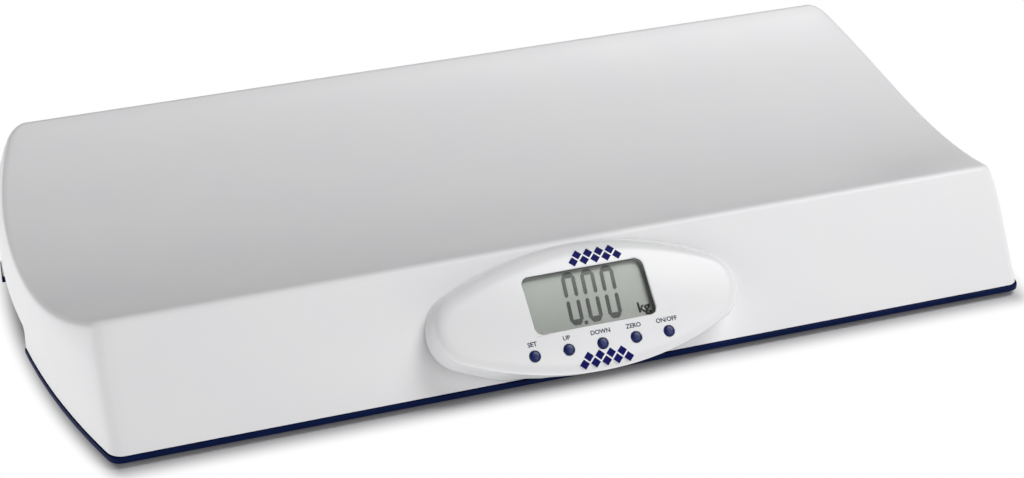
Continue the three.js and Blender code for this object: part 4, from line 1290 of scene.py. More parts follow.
@dataclass
class DisplayPod:
    """Lens-shaped pod on the front wall: crown, soft rolled rim, flared skirt and neck."""

    steps: int = 120
    crown_shares: tuple[float, ...] = (0.12, 0.24, 0.34, 0.44, 0.53, 0.62, 0.7, 0.78, 0.85, 0.91, 0.96)
    roll_turns: tuple[float, ...] = (0.0, 15.0, 30.0, 45.0, 60.0, 75.0, 90.0)
    roll_inset: float = 0.0062
    roll_drop: float = 0.0042
    roll_drop_share: float = 0.55
    side_shares: tuple[float, ...] = (0.2, 0.4, 0.6, 0.75, 0.9, 1.0)
    wall: float = 0.0025
    gap: float = 0.0003
    neck_inset: float = 0.004
    neck_floor: float = 0.013
    neck_reach: float = 0.0105
    window: tuple[float, float, float] = (0.0704, 0.0331, 0.0045)
    window_segments: int = 8
    window_soft: float = 0.0004
    hole_radius: float = 0.0032
    hole_segments: int = 32
    hole_soft: float = 0.0003
    cut_levels: tuple[float, float] = (-0.008, 0.006)
    button_level: float = -0.0271
    button_places: tuple[float, ...] = (-0.0388, -0.0194, 0.0, 0.0194, 0.0388)
    # An edge is softened where it turns by more than the first of these, lies no deeper below the
    # crown than the second, and no farther outside its opening than the third.
    sharp_turn: float = math.radians(60)
    edge_depth: float = 0.0006
    edge_reach: float = 0.0004
    soft_segments: int = 3

    def build(self) -> None:
        """Makes the pod and dresses it."""
        bm = bmesh.new()
        bmesh.ops.create_circle(
            bm, cap_ends=True, cap_tris=True, segments=self.steps, radius=self.crown_shares[0]
        )
        self._lay_crown(bm)
        ring = [edge for edge in bm.edges if edge.is_boundary]
        for place, value in self._rings():
            ring = self._grow(bm, ring, place, value)
        bmesh.ops.recalc_face_normals(bm, faces=bm.faces)
        piece = as_object("pod_skin", bm)
        thicken(piece, self.wall)
        cut_away(piece, self._openings())
        self._soften(piece)
        reshade(piece, CRISP_MOULDING)
        even_normals(piece)
        dress(piece, WHITE_POD, nodes=("display_housing",))

    def _rings(self) -> list[tuple[Callable[[float, float], Vector], float]]:
        """Lists the rings from the crown to the end of the neck.

        Returns:
            For each ring the method that places its points and the value given to it.
        """
        rings = [(self._crown_point, share) for share in self.crown_shares[1:]]
        rings += [(self._rolled_point, math.radians(turn)) for turn in self.roll_turns]
        rings += [(self._side_point, share) for share in self.side_shares]
        return rings + [(self._neck_point, rise) for rise in (self.gap, -self.neck_reach)]

    @staticmethod
    def _grow(
        bm: BMesh, ring: list[BMEdge], place: Callable[[float, float], Vector], value: float
    ) -> list[BMEdge]:
        """Adds one ring of faces.

        Args:
            bm: The mesh, with a layer that holds each point's direction.
            ring: The boundary edges to grow from.
            place: Gives a point of the new ring from its direction and the ring's value.
            value: The ring's value.

        Returns:
            The new boundary edges.
        """
        turn = bm.verts.layers.float["turn"]
        made = bmesh.ops.extrude_edge_only(bm, edges=ring)["geom"]
        for vert in (part for part in made if isinstance(part, BMVert)):
            vert.co = place(vert[turn], value)
        return [part for part in made if isinstance(part, BMEdge) and part.is_boundary]

    def _lay_crown(self, bm: BMesh) -> None:
        """Lays the first disc on the crown and keeps each point's direction.

        Args:
            bm: The mesh, a flat disc.
        """
        turn = bm.verts.layers.float.new("turn")
        for vert in bm.verts:
            vert[turn] = math.atan2(vert.co.y, vert.co.x)
            vert.co = self._crown_point(vert[turn], vert.co.length)

    def _crown_point(self, turn: float, share: float) -> Vector:
        """Place on the crown at a share of the way to the rolled rim."""
        x, up = (way * share for way in POD.outline(turn, self.roll_inset))
        return POD.place() @ Vector((x, up, POD.rise_to_face(x, up)))

    def _rolled_point(self, turn: float, roll: float) -> Vector:
        """Finds a place on the rolled rim.

        Args:
            turn: Its direction.
            roll: From the crown (0) to the side (a quarter turn).

        Returns:
            The place.
        """
        x, up = POD.outline(turn, self.roll_inset * (1.0 - math.sin(roll)))
        rise = POD.rise_to_face(x, up) - self._drop(turn) * (1.0 - math.cos(roll))
        return self._flared(x, up, rise)

    def _side_point(self, turn: float, share: float) -> Vector:
        """Finds a place on the side.

        Args:
            turn: Its direction.
            share: From the rolled rim (0) to the wall (1).

        Returns:
            The place.
        """
        x, up = POD.outline(turn, 0.0)
        rise = (POD.rise_to_face(x, up) - self._drop(turn)) * (1.0 - share)
        return self._flared(x, up, max(rise, self.gap))

    def _neck_point(self, turn: float, rise: float) -> Vector:
        """Finds a place on the neck that reaches through the front wall.

        Args:
            turn: Its direction.
            rise: Its distance out of the wall.

        Returns:
            The place.
        """
        x, up = POD.outline(turn, self.neck_inset)
        point = POD.place() @ Vector((x, up, rise))
        point.z = max(point.z, self.neck_floor)
        return point

    def _drop(self, turn: float) -> float:
        """How far the rolled rim falls below the crown in a direction."""
        return min(self.roll_drop, self.roll_drop_share * POD.rise_to_face(*POD.outline(turn, 0.0)))

    @staticmethod
    def _flared(x: float, up: float, rise: float) -> Vector:
        """Carries a point over, spread outwards near the wall and kept above the pod's floor.

        Args:
            x: Across, from the pod's centre.
            up: Up the wall, from the pod's centre.
            rise: Distance out of the wall.

        Returns:
            The place in the frame.
        """
        flare = POD.flare * max(0.0, 1.0 - rise / POD.flare_height) ** 2
        spread_out = (x * (1.0 + flare / POD.half_length), up * (1.0 + flare / POD.wall_half_height))
        point = POD.place() @ Vector((*spread_out, rise))
        point.z = max(point.z, POD.floor_z)
        return point

    def _openings(self) -> list[BMesh]:
        """Makes the spaces of the window and of the button holes.

        Returns:
            The closed spaces.
        """
        low, high = self.cut_levels
        radius = self.hole_radius
        profile = [(0.0, low), (radius, low), (radius, high), (0.0, high)]
        window = rounded_plate(*self.window, low, high, FORM.face_frame(), self.window_segments)
        places = [FORM.face_frame(x, self.button_level) for x in self.button_places]
        return [window] + [turned(profile, place, self.hole_segments) for place in places]

    def _soften(self, piece: Object) -> None:
        """Rounds the outer edges of the window and of the button holes.

        Args:
            piece: The pod with its openings.
        """
        bm = opened(piece)
        back = FORM.face_frame().inverted()
        row_end = self.button_places[-1] + self.hole_radius
        window, holes = [], []
        for edge in bm.edges:
            if len(edge.link_faces) != 2 or edge.calc_face_angle(0.0) < self.sharp_turn:
                continue
            ends = [back @ vert.co for vert in edge.verts]
            if min(end.z - POD.level(end.x, end.y) for end in ends) < -self.edge_depth:
                continue
            if self._within(ends, 0.0, self.window[0] / 2, self.window[1] / 2):
                window.append(edge)
            elif self._within(ends, self.button_level, row_end, self.hole_radius):
                holes.append(edge)
        for edges, offset in ((window, self.window_soft), (holes, self.hole_soft)):
            round_off(bm, [edge for edge in edges if edge.is_valid], offset, self.soft_segments)
        LOG.info("softened %d window edges and %d hole edges", len(window), len(holes))
        put_back(piece, bm)

    def _within(self, ends: list[Vector], middle: float, half_x: float, half_y: float) -> bool:
        """Tells whether points of the face lie in or close to a box.

        Args:
            ends: The points, in the face's frame.
            middle: Level of the box's middle.
            half_x: Half of its width.
            half_y: Half of its height.

        Returns:
            True when all do.
        """
        wide, high = half_x + self.edge_reach, half_y + self.edge_reach
        return all(abs(end.x) < wide and abs(end.y - middle) < high for end in ends)


@dataclass
class PressButtons:
    """Five navy buttons with domed tops, each on its own body."""

    radius: float = 0.0029
    proud: float = 0.001
    dome: float = 0.0009
    dome_power: float = 1.5
    dome_turns: range = range(0, 91, 10)
    flange: float = 0.004
    flange_depth: float = 0.0036
    flange_height: float = 0.001
    stem: float = 0.0016
    stem_depth: float = 0.0066
    segments: int = 48
    pod: DisplayPod = field(default_factory=DisplayPod)

    def build(self) -> None:
        """Makes every button."""
        for number, x in enumerate(self.pod.button_places, start=1):
            level = POD.level(x, self.pod.button_level)
            place = FORM.face_frame(x, self.pod.button_level)
            bm = turned(self._profile(level), place, self.segments)
            shade(bm, CRISP_SMALL_PART)
            body = f"button_{number}"
            dress(as_object(f"{body}_cap", bm), NAVY_BUTTON, body, (body,))

    def _profile(self, level: float) -> list[tuple[float, float]]:
        """Outlines one button: its cap, its flange and its stem.

        Args:
            level: Height of the pod's crown at the button.

        Returns:
            Radius and level of each point.
        """
        top = level + self.proud
        turns = [math.radians(turn) for turn in self.dome_turns]
        dome = [
            (self.radius * math.sin(turn), top - self.dome * (1.0 - math.cos(turn)) ** self.dome_power)
            for turn in turns
        ]
        under = -self.flange_depth
        over = under + self.flange_height
        return dome + [
            (self.radius, over), (self.flange, over), (self.flange, under), (self.stem, under),
            (self.stem, -self.stem_depth), (0.0, -self.stem_depth),
        ]


@dataclass
class ReadingPanel:
    """Window pane, reading panel, its seven-segment digits and the unit."""

    ink: tuple[float, float] = (-0.00399, -0.00387)
    digit_places: tuple[float, ...] = (-0.0085, 0.0026, 0.0138)
    digit_middle: float = 0.0011
    digit_segments: int = 1
    # Levels and wall of the thin dark lining of painted shade in the window opening, how far it is drawn
    # in, and facets in each corner.
    shade_lining: tuple[float, float, float] = (-0.0017, -0.0011, 0.0003)
    shade_lining_bite: float = 0.1
    shade_lining_segments: int = 8
    upright: tuple[float, float, float] = (0.0021, 0.0119, 0.0009)
    level_bar: tuple[float, float, float] = (0.0062, 0.0033, 0.0015)
    spread_out: tuple[float, float] = (0.0029, 0.0069)
    bar_spread: float = 0.0133
    slant: float = math.radians(3.7)
    point: tuple[float, float, float] = (0.0020, 0.0020, 0.0006)
    point_place: tuple[float, float] = (0.0049, -0.0132)
    point_segments: int = 3
    unit_place: tuple[float, float] = (0.0262, -0.0131)
    unit_size: float = 0.0078
    unit_weight: float = 0.03

    def build(self) -> None:
        """Dresses the pane and the panel, adds what is read and lines the opening with painted shade."""
        paint(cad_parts["display_window"], WINDOW_PANE.build())
        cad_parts["display_window"].visible_shadow = False
        paint(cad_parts["lcd_glass"], READING_PANEL.build())
        parts = []
        for x in self.digit_places:
            parts += self._zero(x)
        away, level = self.point_place
        place = self._slanted(self.digit_places[0] + away, level)
        parts.append(rounded_plate(*self.point, *self.ink, place, self.point_segments))
        dress(as_object("reading_digits", joined(parts)), READING_INK)
        # Painted shade on the walls of the window opening.
        self._shade_lining()
        unit = lettering("kg", self.unit_size, self.unit_weight)
        place_lettering(unit, FORM.face_frame(*self.unit_place, self.ink[0]), self.ink[1] - self.ink[0])
        dress(unit, READING_INK).name = "reading_unit"

    def _shade_lining(self) -> None:
        """Lines the walls of the window opening with a thin dark sheet of painted shade."""
        width, height, radius = DisplayPod().window
        low, high, wall = self.shade_lining
        fit = self.shade_lining_bite * wall
        outer = rounded_plate(
            width - fit, height - fit, radius, low, high, FORM.face_frame(), self.shade_lining_segments
        )
        # Only the two flat ends have more than four corners.
        ends = [face for face in outer.faces if len(face.verts) > 4]
        bmesh.ops.delete(outer, geom=ends, context="FACES_ONLY")
        piece = as_object("window_shade_lining", outer)
        thicken(piece, wall)
        reshade(piece, CRISP_SMALL_PART)
        dress(piece, SHADE_LINING_GREY)

    def _slanted(self, x: float, v: float) -> Matrix:
        """Finds the frame of a digit's part, leaning to the right.

        Args:
            x: Across the face.
            v: Up the face.

        Returns:
            The frame.
        """
        lean = Matrix.Identity(4)
        lean[0][1] = math.tan(self.slant)
        return FORM.face_frame() @ lean @ Matrix.Translation((x, v, 0.0))

    def _zero(self, x: float) -> list[BMesh]:
        """Makes the six segments of a zero.

        Args:
            x: The digit's middle, across the face.

        Returns:
            The segments.
        """
        parts = []
        for side in (-1.0, 1.0):
            bar = self._slanted(x, self.digit_middle + side * self.bar_spread)
            parts.append(rounded_plate(*self.level_bar, *self.ink, bar, self.digit_segments))
            for end in (-1.0, 1.0):
                level = self.digit_middle + end * self.spread_out[1]
                leg = self._slanted(x + side * self.spread_out[0], level)
                parts.append(rounded_plate(*self.upright, *self.ink, leg, self.digit_segments))
        return parts


def lettering(words: str, size: float, weight: float) -> Object:
    """Makes flat plain lettering as a mesh in the XY plane.

    Args:
        words: What it reads.
        size: Nominal height, in metres.
        weight: Share of the size that thickens the strokes.

    Returns:
        The mesh object, its origin at the start of the line.
    """
    curve = bpy.data.curves.new("words", "FONT")
    curve.body = words
    curve.size = size
    curve.offset = weight * size
    curve.resolution_u = LETTER_FACETS
    source = linked("words", curve)
    graph = bpy.context.evaluated_depsgraph_get()
    mesh = bpy.data.meshes.new_from_object(source.evaluated_get(graph))
    bpy.data.objects.remove(source)
    bpy.data.curves.remove(curve)
    return linked(f"words_{words}", mesh)


def place_lettering(piece: Object, place: Matrix, thick: float) -> None:
    """Gives flat lettering a thickness and carries it to its place.

    Args:
        piece: The flat lettering.
        place: The frame that it goes to.
        thick: Its thickness.
    """
    bm = opened(piece)
    raised(bm, thick)
    put_back(piece, finished(bm, place))


@dataclass
class FacePrint:
    """Small words above the buttons and a plain pattern of diamonds, printed on the crown."""

    words: tuple[str, ...] = ("SET", "UP", "DOWN", "ZERO", "ON/OFF")
    word_size: float = 0.0034
    word_weight: float = 0.02
    word_level: float = -0.0218
    film: float = 0.00006
    diamond: float = 0.0056
    diamond_cuts: int = 2
    pitch: float = 0.0064
    row_step: float = 0.58
    rows: int = 2
    upper_start: tuple[float, float] = (0.0096, 0.0204)
    upper_count: int = 5
    lower_level: float = -0.0328
    lower_count: int = 4
    pod: DisplayPod = field(default_factory=DisplayPod)

    def build(self) -> None:
        """Prints the words and the pattern."""
        for number, (word, x) in enumerate(zip(self.words, self.pod.button_places), start=1):
            piece = lettering(word, self.word_size, self.word_weight)
            width = piece.dimensions.x if piece.dimensions.x else self.word_size
            place_lettering(piece, Matrix.Translation((x - width / 2, self.word_level, 0.0)), self.film)
            self._lay(piece.data.vertices)
            dress(piece, LEGEND_PRINT).name = f"legend_{number}"
        parts = [self._mark(x, v) for x, v in self._marks()]
        dress(as_object("face_pattern", joined(parts)), NAVY_PRINT)

    def _marks(self) -> list[tuple[float, float]]:
        """Places the diamonds: one lattice above the window and one under the buttons.

        Returns:
            Middle of each diamond, across and up the face.
        """
        rise = self.pitch * self.row_step
        start, level = self.upper_start
        above, below = [], []
        for row in range(self.rows):
            for column in range(self.upper_count - row):
                across = (column - (self.upper_count - row - 1) / 2) * self.pitch
                above.append((start + across, level + row * rise))
            for column in range(self.lower_count + row):
                across = (column - (self.lower_count + row - 1) / 2) * self.pitch
                below.append((across, self.lower_level - row * rise))
        return above + below

    def _mark(self, x: float, v: float) -> BMesh:
        """Makes one diamond, laid on the crown.

        Args:
            x: Its middle, across the face.
            v: Its middle, up the face.

        Returns:
            The closed diamond.
        """
        bm = bmesh.new()
        bmesh.ops.create_circle(bm, cap_ends=True, segments=4, radius=self.diamond / 2)
        bmesh.ops.subdivide_edges(bm, edges=bm.edges, cuts=self.diamond_cuts, use_grid_fill=True)
        raised(bm, self.film)
        bmesh.ops.translate(bm, verts=bm.verts, vec=(x, v, 0.0))
        bmesh.ops.recalc_face_normals(bm, faces=bm.faces)
        self._lay(bm.verts)
        return bm

    @staticmethod
    def _lay(verts: Iterable[BMVert | bpy.types.MeshVertex]) -> None:
        """Carries flat points, given on the face plane, onto the crown.

        Args:
            verts: The points.
        """
        place = FORM.face_frame()
        for vert in verts:
            level = POD.level(vert.co.x, vert.co.y) + vert.co.z
            vert.co = place @ Vector((vert.co.x, vert.co.y, level))


# Underside and inside


@dataclass
class BaseTray:
    """Navy base with softened edges along its visible strip."""

    strip_foot: float = 0.0029
    soft: float = 0.0006
    soft_segments: int = 3
    reach: float = 0.002
    weld: float = 2e-6
    flat_turn: float = math.radians(0.2)
    sharp_turn: float = math.radians(60)
    # How far an edge of the strip may slope and how far it may lie off the strip's two levels.
    level_drift: float = 1e-5
    level_reach: float = 1e-4
    crisp: float = 30.0

    def build(self) -> None:
        """Copies the base's solid, merges it and rounds the strip's edges."""
        bm = opened(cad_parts["base_tray"], self.weld)
        bmesh.ops.dissolve_limit(bm, angle_limit=self.flat_turn, verts=bm.verts, edges=bm.edges)
        rim = [edge for edge in bm.edges if self._on_strip(edge)]
        round_off(bm, rim, self.soft, self.soft_segments, clamp=True)
        shade(bm, self.crisp)
        dress(as_object("base_shell", bm), NAVY_BASE, nodes=("base_tray",))

    def _on_strip(self, edge: BMEdge) -> bool:
        """Tells whether an edge runs along the outer strip.

        Args:
            edge: The edge.

        Returns:
            True for an edge of the strip.
        """
        if len(edge.link_faces) != 2 or edge.calc_face_angle(0.0) < self.sharp_turn:
            return False
        first, last = (vert.co for vert in edge.verts)
        off_level = min(abs(first.z - level) for level in (self.strip_foot, FORM.strip_top))
        if abs(first.z - last.z) > self.level_drift or off_level > self.level_reach:
            return False
        return self._outside(first) and self._outside(last)

    def _outside(self, point: Vector) -> bool:
        """Tells whether a point lies on the outer outline.

        Args:
            point: The point.

        Returns:
            True on the outline.
        """
        y = point.y - FORM.front_y
        if y < self.reach or y > FORM.depth - self.reach:
            return True
        return abs(point.x) > FORM.end_x(y) - self.reach


@dataclass
class RestingFeet:
    """Four round feet under the load cells, each with a ribbed rubber pad."""

    count: int = 4
    segments: int = 64
    radius: float = 0.015
    foot: float = 0.0017
    flange: float = 0.018
    flange_levels: tuple[float, float] = (0.0067, 0.0085)
    post: float = 0.005
    post_top: float = 0.0105
    soft: float = 0.0009
    soft_share: float = 0.3
    pad_radius: float = 0.012
    pad_top: float = 0.0014
    groove: float = 0.0004
    groove_slope: float = 0.4
    rim_share: float = 1.5
    ribs: int = 4

    def build(self) -> None:
        """Makes the feet and the pads at the frame's own places."""
        for number in range(1, self.count + 1):
            foot, pad = f"foot_{number}", f"foot_pad_{number}"
            place = Matrix.Translation((*middle_of(foot), 0.0))
            self._turn(f"{foot}_body", self._foot_profile(), place, FOOT_PLASTIC, foot)
            self._turn(f"{foot}_tread", self._pad_profile(), place, RUBBER, pad)

    def _turn(
        self, name: str, profile: list[tuple[float, float]], place: Matrix, finish: Finish,
        node: str,
    ) -> None:
        """Makes and dresses one turned piece.

        Args:
            name: The piece's name.
            profile: Radius and height round it.
            place: Where it stands.
            finish: Its finish.
            node: The frame node that it replaces.
        """
        bm = turned(profile, place, self.segments)
        shade(bm, CRISP_SMALL_PART)
        dress(as_object(name, bm), finish, nodes=(node,))

    def _foot_profile(self) -> list[tuple[float, float]]:
        """Outlines one foot.

        Returns:
            Radius and height of each point.
        """
        low, high = self.flange_levels
        chamfer = self.soft * self.soft_share
        return [
            (0.0, self.foot), (self.radius - self.soft, self.foot),
            (self.radius - chamfer, self.foot + chamfer),
            (self.radius, self.foot + self.soft), (self.radius, low), (self.flange, low),
            (self.flange, high), (self.post, high), (self.post, self.post_top), (0.0, self.post_top),
        ]

    def _pad_profile(self) -> list[tuple[float, float]]:
        """Outlines one pad, with rings in its tread.

        Returns:
            Radius and height of each point.
        """
        pitch = self.pad_radius / (2 * self.ribs)
        slope = self.groove * self.groove_slope
        points = [(0.0, 0.0)]
        for rib in range(self.ribs):
            inner, outer = (2 * rib + 1) * pitch, (2 * rib + 2) * pitch
            points += [(inner - slope, 0.0), (inner, self.groove)]
            points += [(outer - 2 * slope, self.groove), (outer - slope, 0.0)]
        rim = self.groove * self.rim_share
        points[-2:] = [(self.pad_radius - self.groove, self.groove), (self.pad_radius, rim)]
        return points + [(self.pad_radius, self.pad_top), (0.0, self.pad_top)]


@dataclass
class HousingScrews:
    """Six cross-head screws that hold the base to the housing."""

    count: int = 6
    segments: int = 32
    head: float = 0.0034
    head_height: float = 0.0024
    shank: float = 0.0014
    dome: float = 0.0006
    dome_shares: tuple[tuple[float, float], ...] = ((0.0, 0.0), (0.6, 0.25), (0.88, 0.6), (1.0, 1.4))
    slot: tuple[float, float, float] = (0.0034, 0.0008, 0.0013)

    def build(self) -> None:
        """Makes each screw where the frame has it."""
        for number in range(1, self.count + 1):
            name = f"housing_screw_{number}"
            low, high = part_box(name)
            place = Matrix.Translation((*middle_of(name), low.z))
            piece = as_object(f"{name}_body", turned(self._profile(high.z - low.z), place, self.segments))
            cut_away(piece, [self._slot(place), self._slot(place @ Matrix.Rotation(math.pi / 2, 4, "Z"))])
            reshade(piece, CRISP_SMALL_PART)
            dress(piece, STEEL, nodes=(name,))

    def _profile(self, length: float) -> list[tuple[float, float]]:
        """Outlines one screw.

        Args:
            length: From the head's face to the tip.

        Returns:
            Radius and height of each point.
        """
        domed = [(self.head * out, self.dome * up) for out, up in self.dome_shares]
        return domed + [
            (self.head, self.head_height), (self.shank, self.head_height),
            (self.shank, length - self.shank), (0.0, length),
        ]

    def _slot(self, place: Matrix) -> BMesh:
        """One bar of the cross recess."""
        length, width, depth = self.slot
        return rounded_plate(length, width, 0.0, -self.dome, depth, place)


@dataclass
class BatteryDoor:
    """Hinged door under the battery box, with a grip of shallow grooves."""

    corner: float = 0.0022
    corner_segments: int = 5
    soft: float = 0.0004
    soft_segments: int = 2
    thickness: float = 0.0023
    half_width: float = 0.030
    nose: float = 0.0012
    pin: float = 0.0008
    pin_segments: int = 24
    grooves: int = 5
    groove: tuple[float, float, float] = (0.018, 0.0009, 0.0006)
    groove_round: float = 0.49
    groove_pitch: float = 0.0022
    groove_start: float = 1.5
    notch: tuple[float, float, float] = (0.016, 0.008, 0.001)
    notch_gap: float = 0.005
    notch_corner: float = 0.001
    mark_segments: int = 3
    crisp: float = 35.0

    def build(self) -> None:
        """Makes the door on its own body."""
        low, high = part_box("battery_door")
        hinge = Vector((0.0, low.y + self.nose, low.z + self.nose))
        span = high.y - hinge.y
        middle = Matrix.Translation((0.0, hinge.y + span / 2, low.z))
        panel = rounded_plate(
            2 * self.half_width, span, self.corner, 0.0, self.thickness, middle, self.corner_segments
        )
        edges = [edge for edge in panel.edges if max(vert.co.z for vert in edge.verts) < low.z + self.soft]
        round_off(panel, edges, self.soft, self.soft_segments, clamp=True)
        piece = as_object("battery_door_panel", panel)
        cut_away(piece, self._marks(high.y, low.z))
        whole = self._rod((high.x - low.x) / 2, hinge)
        whole.from_mesh(piece.data)
        shade(whole, self.crisp)
        put_back(piece, whole)
        dress(piece, NAVY_BASE, "battery_door", ("battery_door",))

    def _rod(self, reach: float, hinge: Vector) -> BMesh:
        """Makes the hinge rod with its two thinner pins.

        Args:
            reach: Half of its length.
            hinge: Its middle.

        Returns:
            The closed rod.
        """
        half = self.half_width
        ends = [(0.0, -reach), (self.pin, -reach), (self.pin, -half), (self.nose, -half)]
        profile = ends + [(radius, -along) for radius, along in reversed(ends)]
        place = Matrix.Translation(hinge) @ Matrix.Rotation(math.pi / 2, 4, "Y")
        return turned(profile, place, self.pin_segments)

    def _marks(self, edge_y: float, foot_z: float) -> list[BMesh]:
        """Spaces of the grip grooves and of the nail notch.

        Args:
            edge_y: Depth of the door's free edge.
            foot_z: Height of its outer face.

        Returns:
            The closed spaces.
        """
        length, width, depth = self.groove
        places = [
            edge_y - self.notch_gap - (number + self.groove_start) * self.groove_pitch
            for number in range(self.grooves)
        ]
        marks = [(y, length, width, width * self.groove_round, depth) for y in places]
        notch_width, notch_length, notch_depth = self.notch
        marks.append((edge_y, notch_width, notch_length, self.notch_corner, notch_depth))
        return [
            rounded_plate(
                wide, along, corner, -deep, deep, Matrix.Translation((0.0, y, foot_z)), self.mark_segments
            )
            for y, wide, along, corner, deep in marks
        ]


FINISH_OF_NODES = {
    BLACK_PLASTIC: ("lcd_frame", "lcd_connector", "controller_chip", "switch_"),
    CIRCUIT_GREEN: ("display_board", "junction_board"),
    STEEL: ("load_cell_", "display_screw_", "contact_"),
    LEAD_COVER: ("cell_lead_", "display_lead", "battery_lead"),
    BATTERY_WRAP: ("battery_1", "battery_2", "battery_3", "battery_4"),
}


def dress_hidden_nodes() -> None:
    """Gives every carried-over CAD node of the inside its finish."""
    for finish, starts in FINISH_OF_NODES.items():
        material = finish.build()
        for name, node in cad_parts.items():
            if name.startswith(starts):
                paint(node, material)


# Stage, light and camera


@dataclass
class SoftLamp:
    """A large soft area lamp aimed at a point.

    Args:
        name: The lamp's name.
        place: Where it hangs, in metres.
        aim: What it points at, in metres.
        size: Edge lengths of its face, in metres.
        power: Its power, in watts.
    """

    name: str
    place: tuple[float, float, float]
    aim: tuple[float, float, float]
    size: tuple[float, float]
    power: float

    def build(self) -> None:
        """Hangs the lamp."""
        data = bpy.data.lights.new(self.name, "AREA")
        data.shape = "RECTANGLE"
        data.size, data.size_y = self.size
        data.energy = self.power
        lamp = linked(self.name, data)
        lamp.location = self.place
        lamp.visible_camera = False
        way = Vector(self.aim) - Vector(self.place)
        lamp.rotation_euler = way.to_track_quat("-Z", "Y").to_euler()


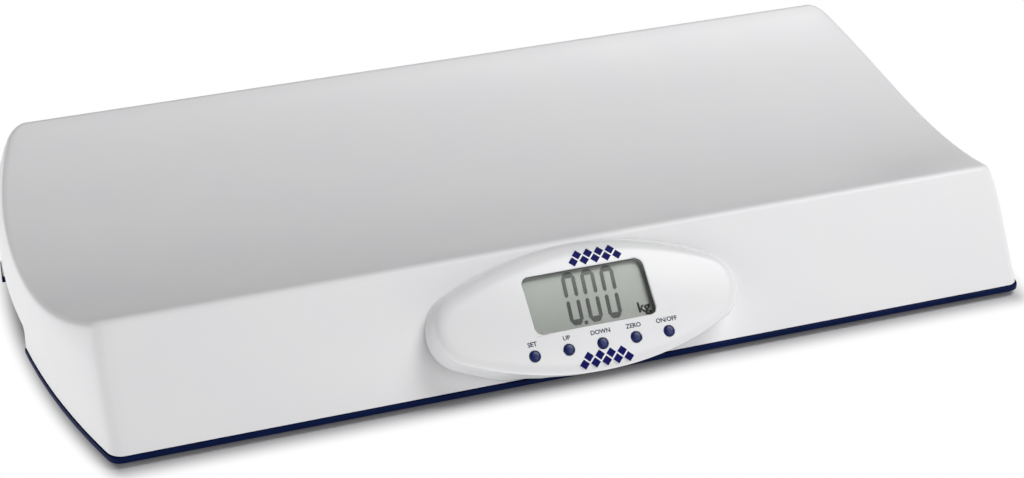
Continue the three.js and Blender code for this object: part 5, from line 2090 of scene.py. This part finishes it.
@dataclass
class Studio:
    """Pale floor, white surroundings and soft lamps."""

    floor_size: float = 9.0
    floor_light: tuple[int, int, int] = (194, 194, 196)
    floor_deep: tuple[int, int, int] = (192, 192, 194)
    floor_mottle: float = 3.0
    floor_roughness: float = 0.9
    floor_shine: float = 0.1
    # The bowed footprint, and how fast the painted soft shadow around it fades to white at the ends and at
    # the front.
    half_length: float = 0.2739
    bow_radius: float = 0.5973
    half_depth: float = 0.1247
    footprint_middle: tuple[float, float] = (0.0, 0.011)
    end_haste: float = 1.75
    front_haste: float = 1.4
    fade: tuple[float, float] = (-0.004, 0.024)
    surroundings: float = 0.03
    lamps: tuple[SoftLamp, ...] = (
        SoftLamp("Key", (1.0, -0.36, 1.7), (0.3, 0.0, 0.05), (1.0, 1.0), 24.4),
        SoftLamp("Front Fill", (0.9, -1.6, 1.2), (0.2, 0.0, 0.05), (1.0, 1.0), 9.4),
        SoftLamp("Left Fill", (-1.8, -0.5, 0.3), (-0.25, 0.0, 0.05), (0.8, 0.5), 2.1),
        SoftLamp("Low Fill", (-1.2, -1.2, 0.3), (-0.1, 0.0, 0.03), (0.7, 0.4), 2.8),
        SoftLamp("End Fill", (-1.6, 0.2, 0.2), (-0.28, 0.0, 0.03), (0.8, 0.4), 5.2),
    )

    def build(self) -> None:
        """Lays the floor, sets the surroundings and hangs the lamps."""
        self._floor()
        self._world()
        for lamp in self.lamps:
            lamp.build()

    def _floor(self) -> None:
        """Lays the floor as stage."""
        bm = bmesh.new()
        bmesh.ops.create_grid(bm, x_segments=2, y_segments=2, size=self.floor_size / 2)
        floor = as_object("studio_floor", bm)
        floor.data.materials.append(self._floor_finish())

    def _floor_finish(self) -> Material:
        """Matt pale floor that turns into plain white away from the object and is clear from below.
        Near the object it keeps its real shadows, and its grey there, fading out a short way beyond the
        footprint, is also a painted soft shadow.

        Returns:
            The material.
        """
        material, tree, shader = blank_material("Studio Floor")
        light, deep = rgba(*self.floor_light), rgba(*self.floor_deep)
        colour = EFFECTS.place(tree, Effect.SOFT_MOTTLE, Light=light, Deep=deep, Scale=self.floor_mottle)
        fill(shader, Roughness=self.floor_roughness, Specular_IOR_Level=self.floor_shine)
        mix, under = add(tree, "MixShader"), add(tree, "MixShader")
        tree.links.new(self._beyond_footprint(tree), mix.inputs["Fac"])
        wire(
            tree,
            (colour, "Color", shader, "Base Color"),
            (shader, "BSDF", mix, 1),
            (add(tree, "Emission"), "Emission", mix, 2),
            (add(tree, "NewGeometry"), "Backfacing", under, "Fac"),
            (mix, "Shader", under, 1),
            (add(tree, "BsdfTransparent"), "BSDF", under, 2),
            (under, "Shader", tree.nodes["Material Output"], "Surface"),
        )
        return material

    def _beyond_footprint(self, tree: ShaderNodeTree) -> NodeSocket:
        """Adds nodes that rise from zero to one away from the object's bowed footprint: the mask of the
        painted soft shadow.

        Args:
            tree: The floor's node tree.

        Returns:
            The output that rises.
        """
        place = add(tree, "TexCoord").outputs["Object"]
        middle = self._vector(tree, "SUBTRACT", place, (*self.footprint_middle, 0.0))
        folded = self._vector(tree, "ABSOLUTE", middle.outputs["Vector"])
        bow_back = (self.half_length - self.bow_radius, 0.0, 0.0)
        bow = self._vector(tree, "SUBTRACT", folded.outputs["Vector"], bow_back)
        radius = self._vector(tree, "LENGTH", bow.outputs["Vector"])
        end = spread(tree, (0.0, self.end_haste), (self.bow_radius, self.bow_radius + 1.0))
        front = spread(tree, (0.0, self.front_haste), (self.half_depth, self.half_depth + 1.0))
        split, both = add(tree, "SeparateXYZ"), add(tree, "CombineXYZ")
        wire(
            tree,
            (radius, "Value", end, "Value"),
            (folded, "Vector", split, "Vector"),
            (split, "Y", front, "Value"),
            (end, "Result", both, "X"),
            (front, "Result", both, "Y"),
        )
        away = self._vector(tree, "LENGTH", both.outputs["Vector"])
        rise = spread(tree, (0.0, 1.0), self.fade)
        rise.interpolation_type = "SMOOTHSTEP"
        wire(tree, (away, "Value", rise, "Value"))
        return rise.outputs["Result"]

    @staticmethod
    def _vector(
        tree: ShaderNodeTree, operation: str, source: NodeSocket, value: tuple[float, ...] | None = None
    ) -> Node:
        """Adds one vector sum.

        Args:
            tree: The node tree.
            operation: What it does.
            source: The output that it reads.
            value: Its second input, where it has one.

        Returns:
            The node.
        """
        node = add(tree, "VectorMath")
        node.operation = operation
        tree.links.new(source, node.inputs[0])
        if value is not None:
            node.inputs[1].default_value = value
        return node

    def _world(self) -> None:
        """Surroundings that look plain white but light the scene more softly."""
        world = bpy.data.worlds.new("Studio World")
        bpy.context.scene.world = world
        world.use_nodes = True
        tree = world.node_tree
        paint_node = fill(tree.nodes["Background"], Color=(1.0, 1.0, 1.0, 1.0))
        level = spread(tree, (self.surroundings, 1.0))
        wire(
            tree,
            (add(tree, "LightPath"), "Is Camera Ray", level, "Value"),
            (level, "Result", paint_node, "Strength"),
        )


@dataclass
class PhotoCamera:
    """The camera that stands where the photo was taken from."""

    place: tuple[float, float, float] = (-0.5165, -1.3063, 0.7223)
    azimuth: float = math.radians(21.50)
    elevation: float = math.radians(26.19)
    roll: float = math.radians(-0.075)
    lens: float = 96.62
    sensor: float = 36.0
    nearest: float = 0.05

    def build(self) -> None:
        """Places the camera and makes it the scene's own."""
        data = bpy.data.cameras.new("Photo Camera")
        data.lens = self.lens
        data.sensor_width = self.sensor
        data.clip_start = self.nearest
        camera = linked("Photo Camera", data)
        back = Vector((
            -math.sin(self.azimuth) * math.cos(self.elevation),
            -math.cos(self.azimuth) * math.cos(self.elevation),
            math.sin(self.elevation),
        ))
        right = Vector((math.cos(self.azimuth), -math.sin(self.azimuth), 0.0))
        turn = Matrix((right, back.cross(right), back)).transposed() @ Matrix.Rotation(self.roll, 3, "Z")
        camera.matrix_world = Matrix.Translation(self.place) @ turn.to_4x4()
        bpy.context.scene.camera = camera


def main() -> None:
    """Builds each assembly in turn, then the studio."""
    logging.basicConfig(level=logging.INFO, format="%(message)s")
    for assembly in (
        TrayShell(), DisplayPod(), PressButtons(), ReadingPanel(), FacePrint(),
        BaseTray(), RestingFeet(), HousingScrews(), BatteryDoor(),
    ):
        assembly.build()
    dress_hidden_nodes()
    Studio().build()
    PhotoCamera().build()
    bpy.context.scene.view_settings.view_transform = "Standard"


if __name__ == "__main__":
    main()
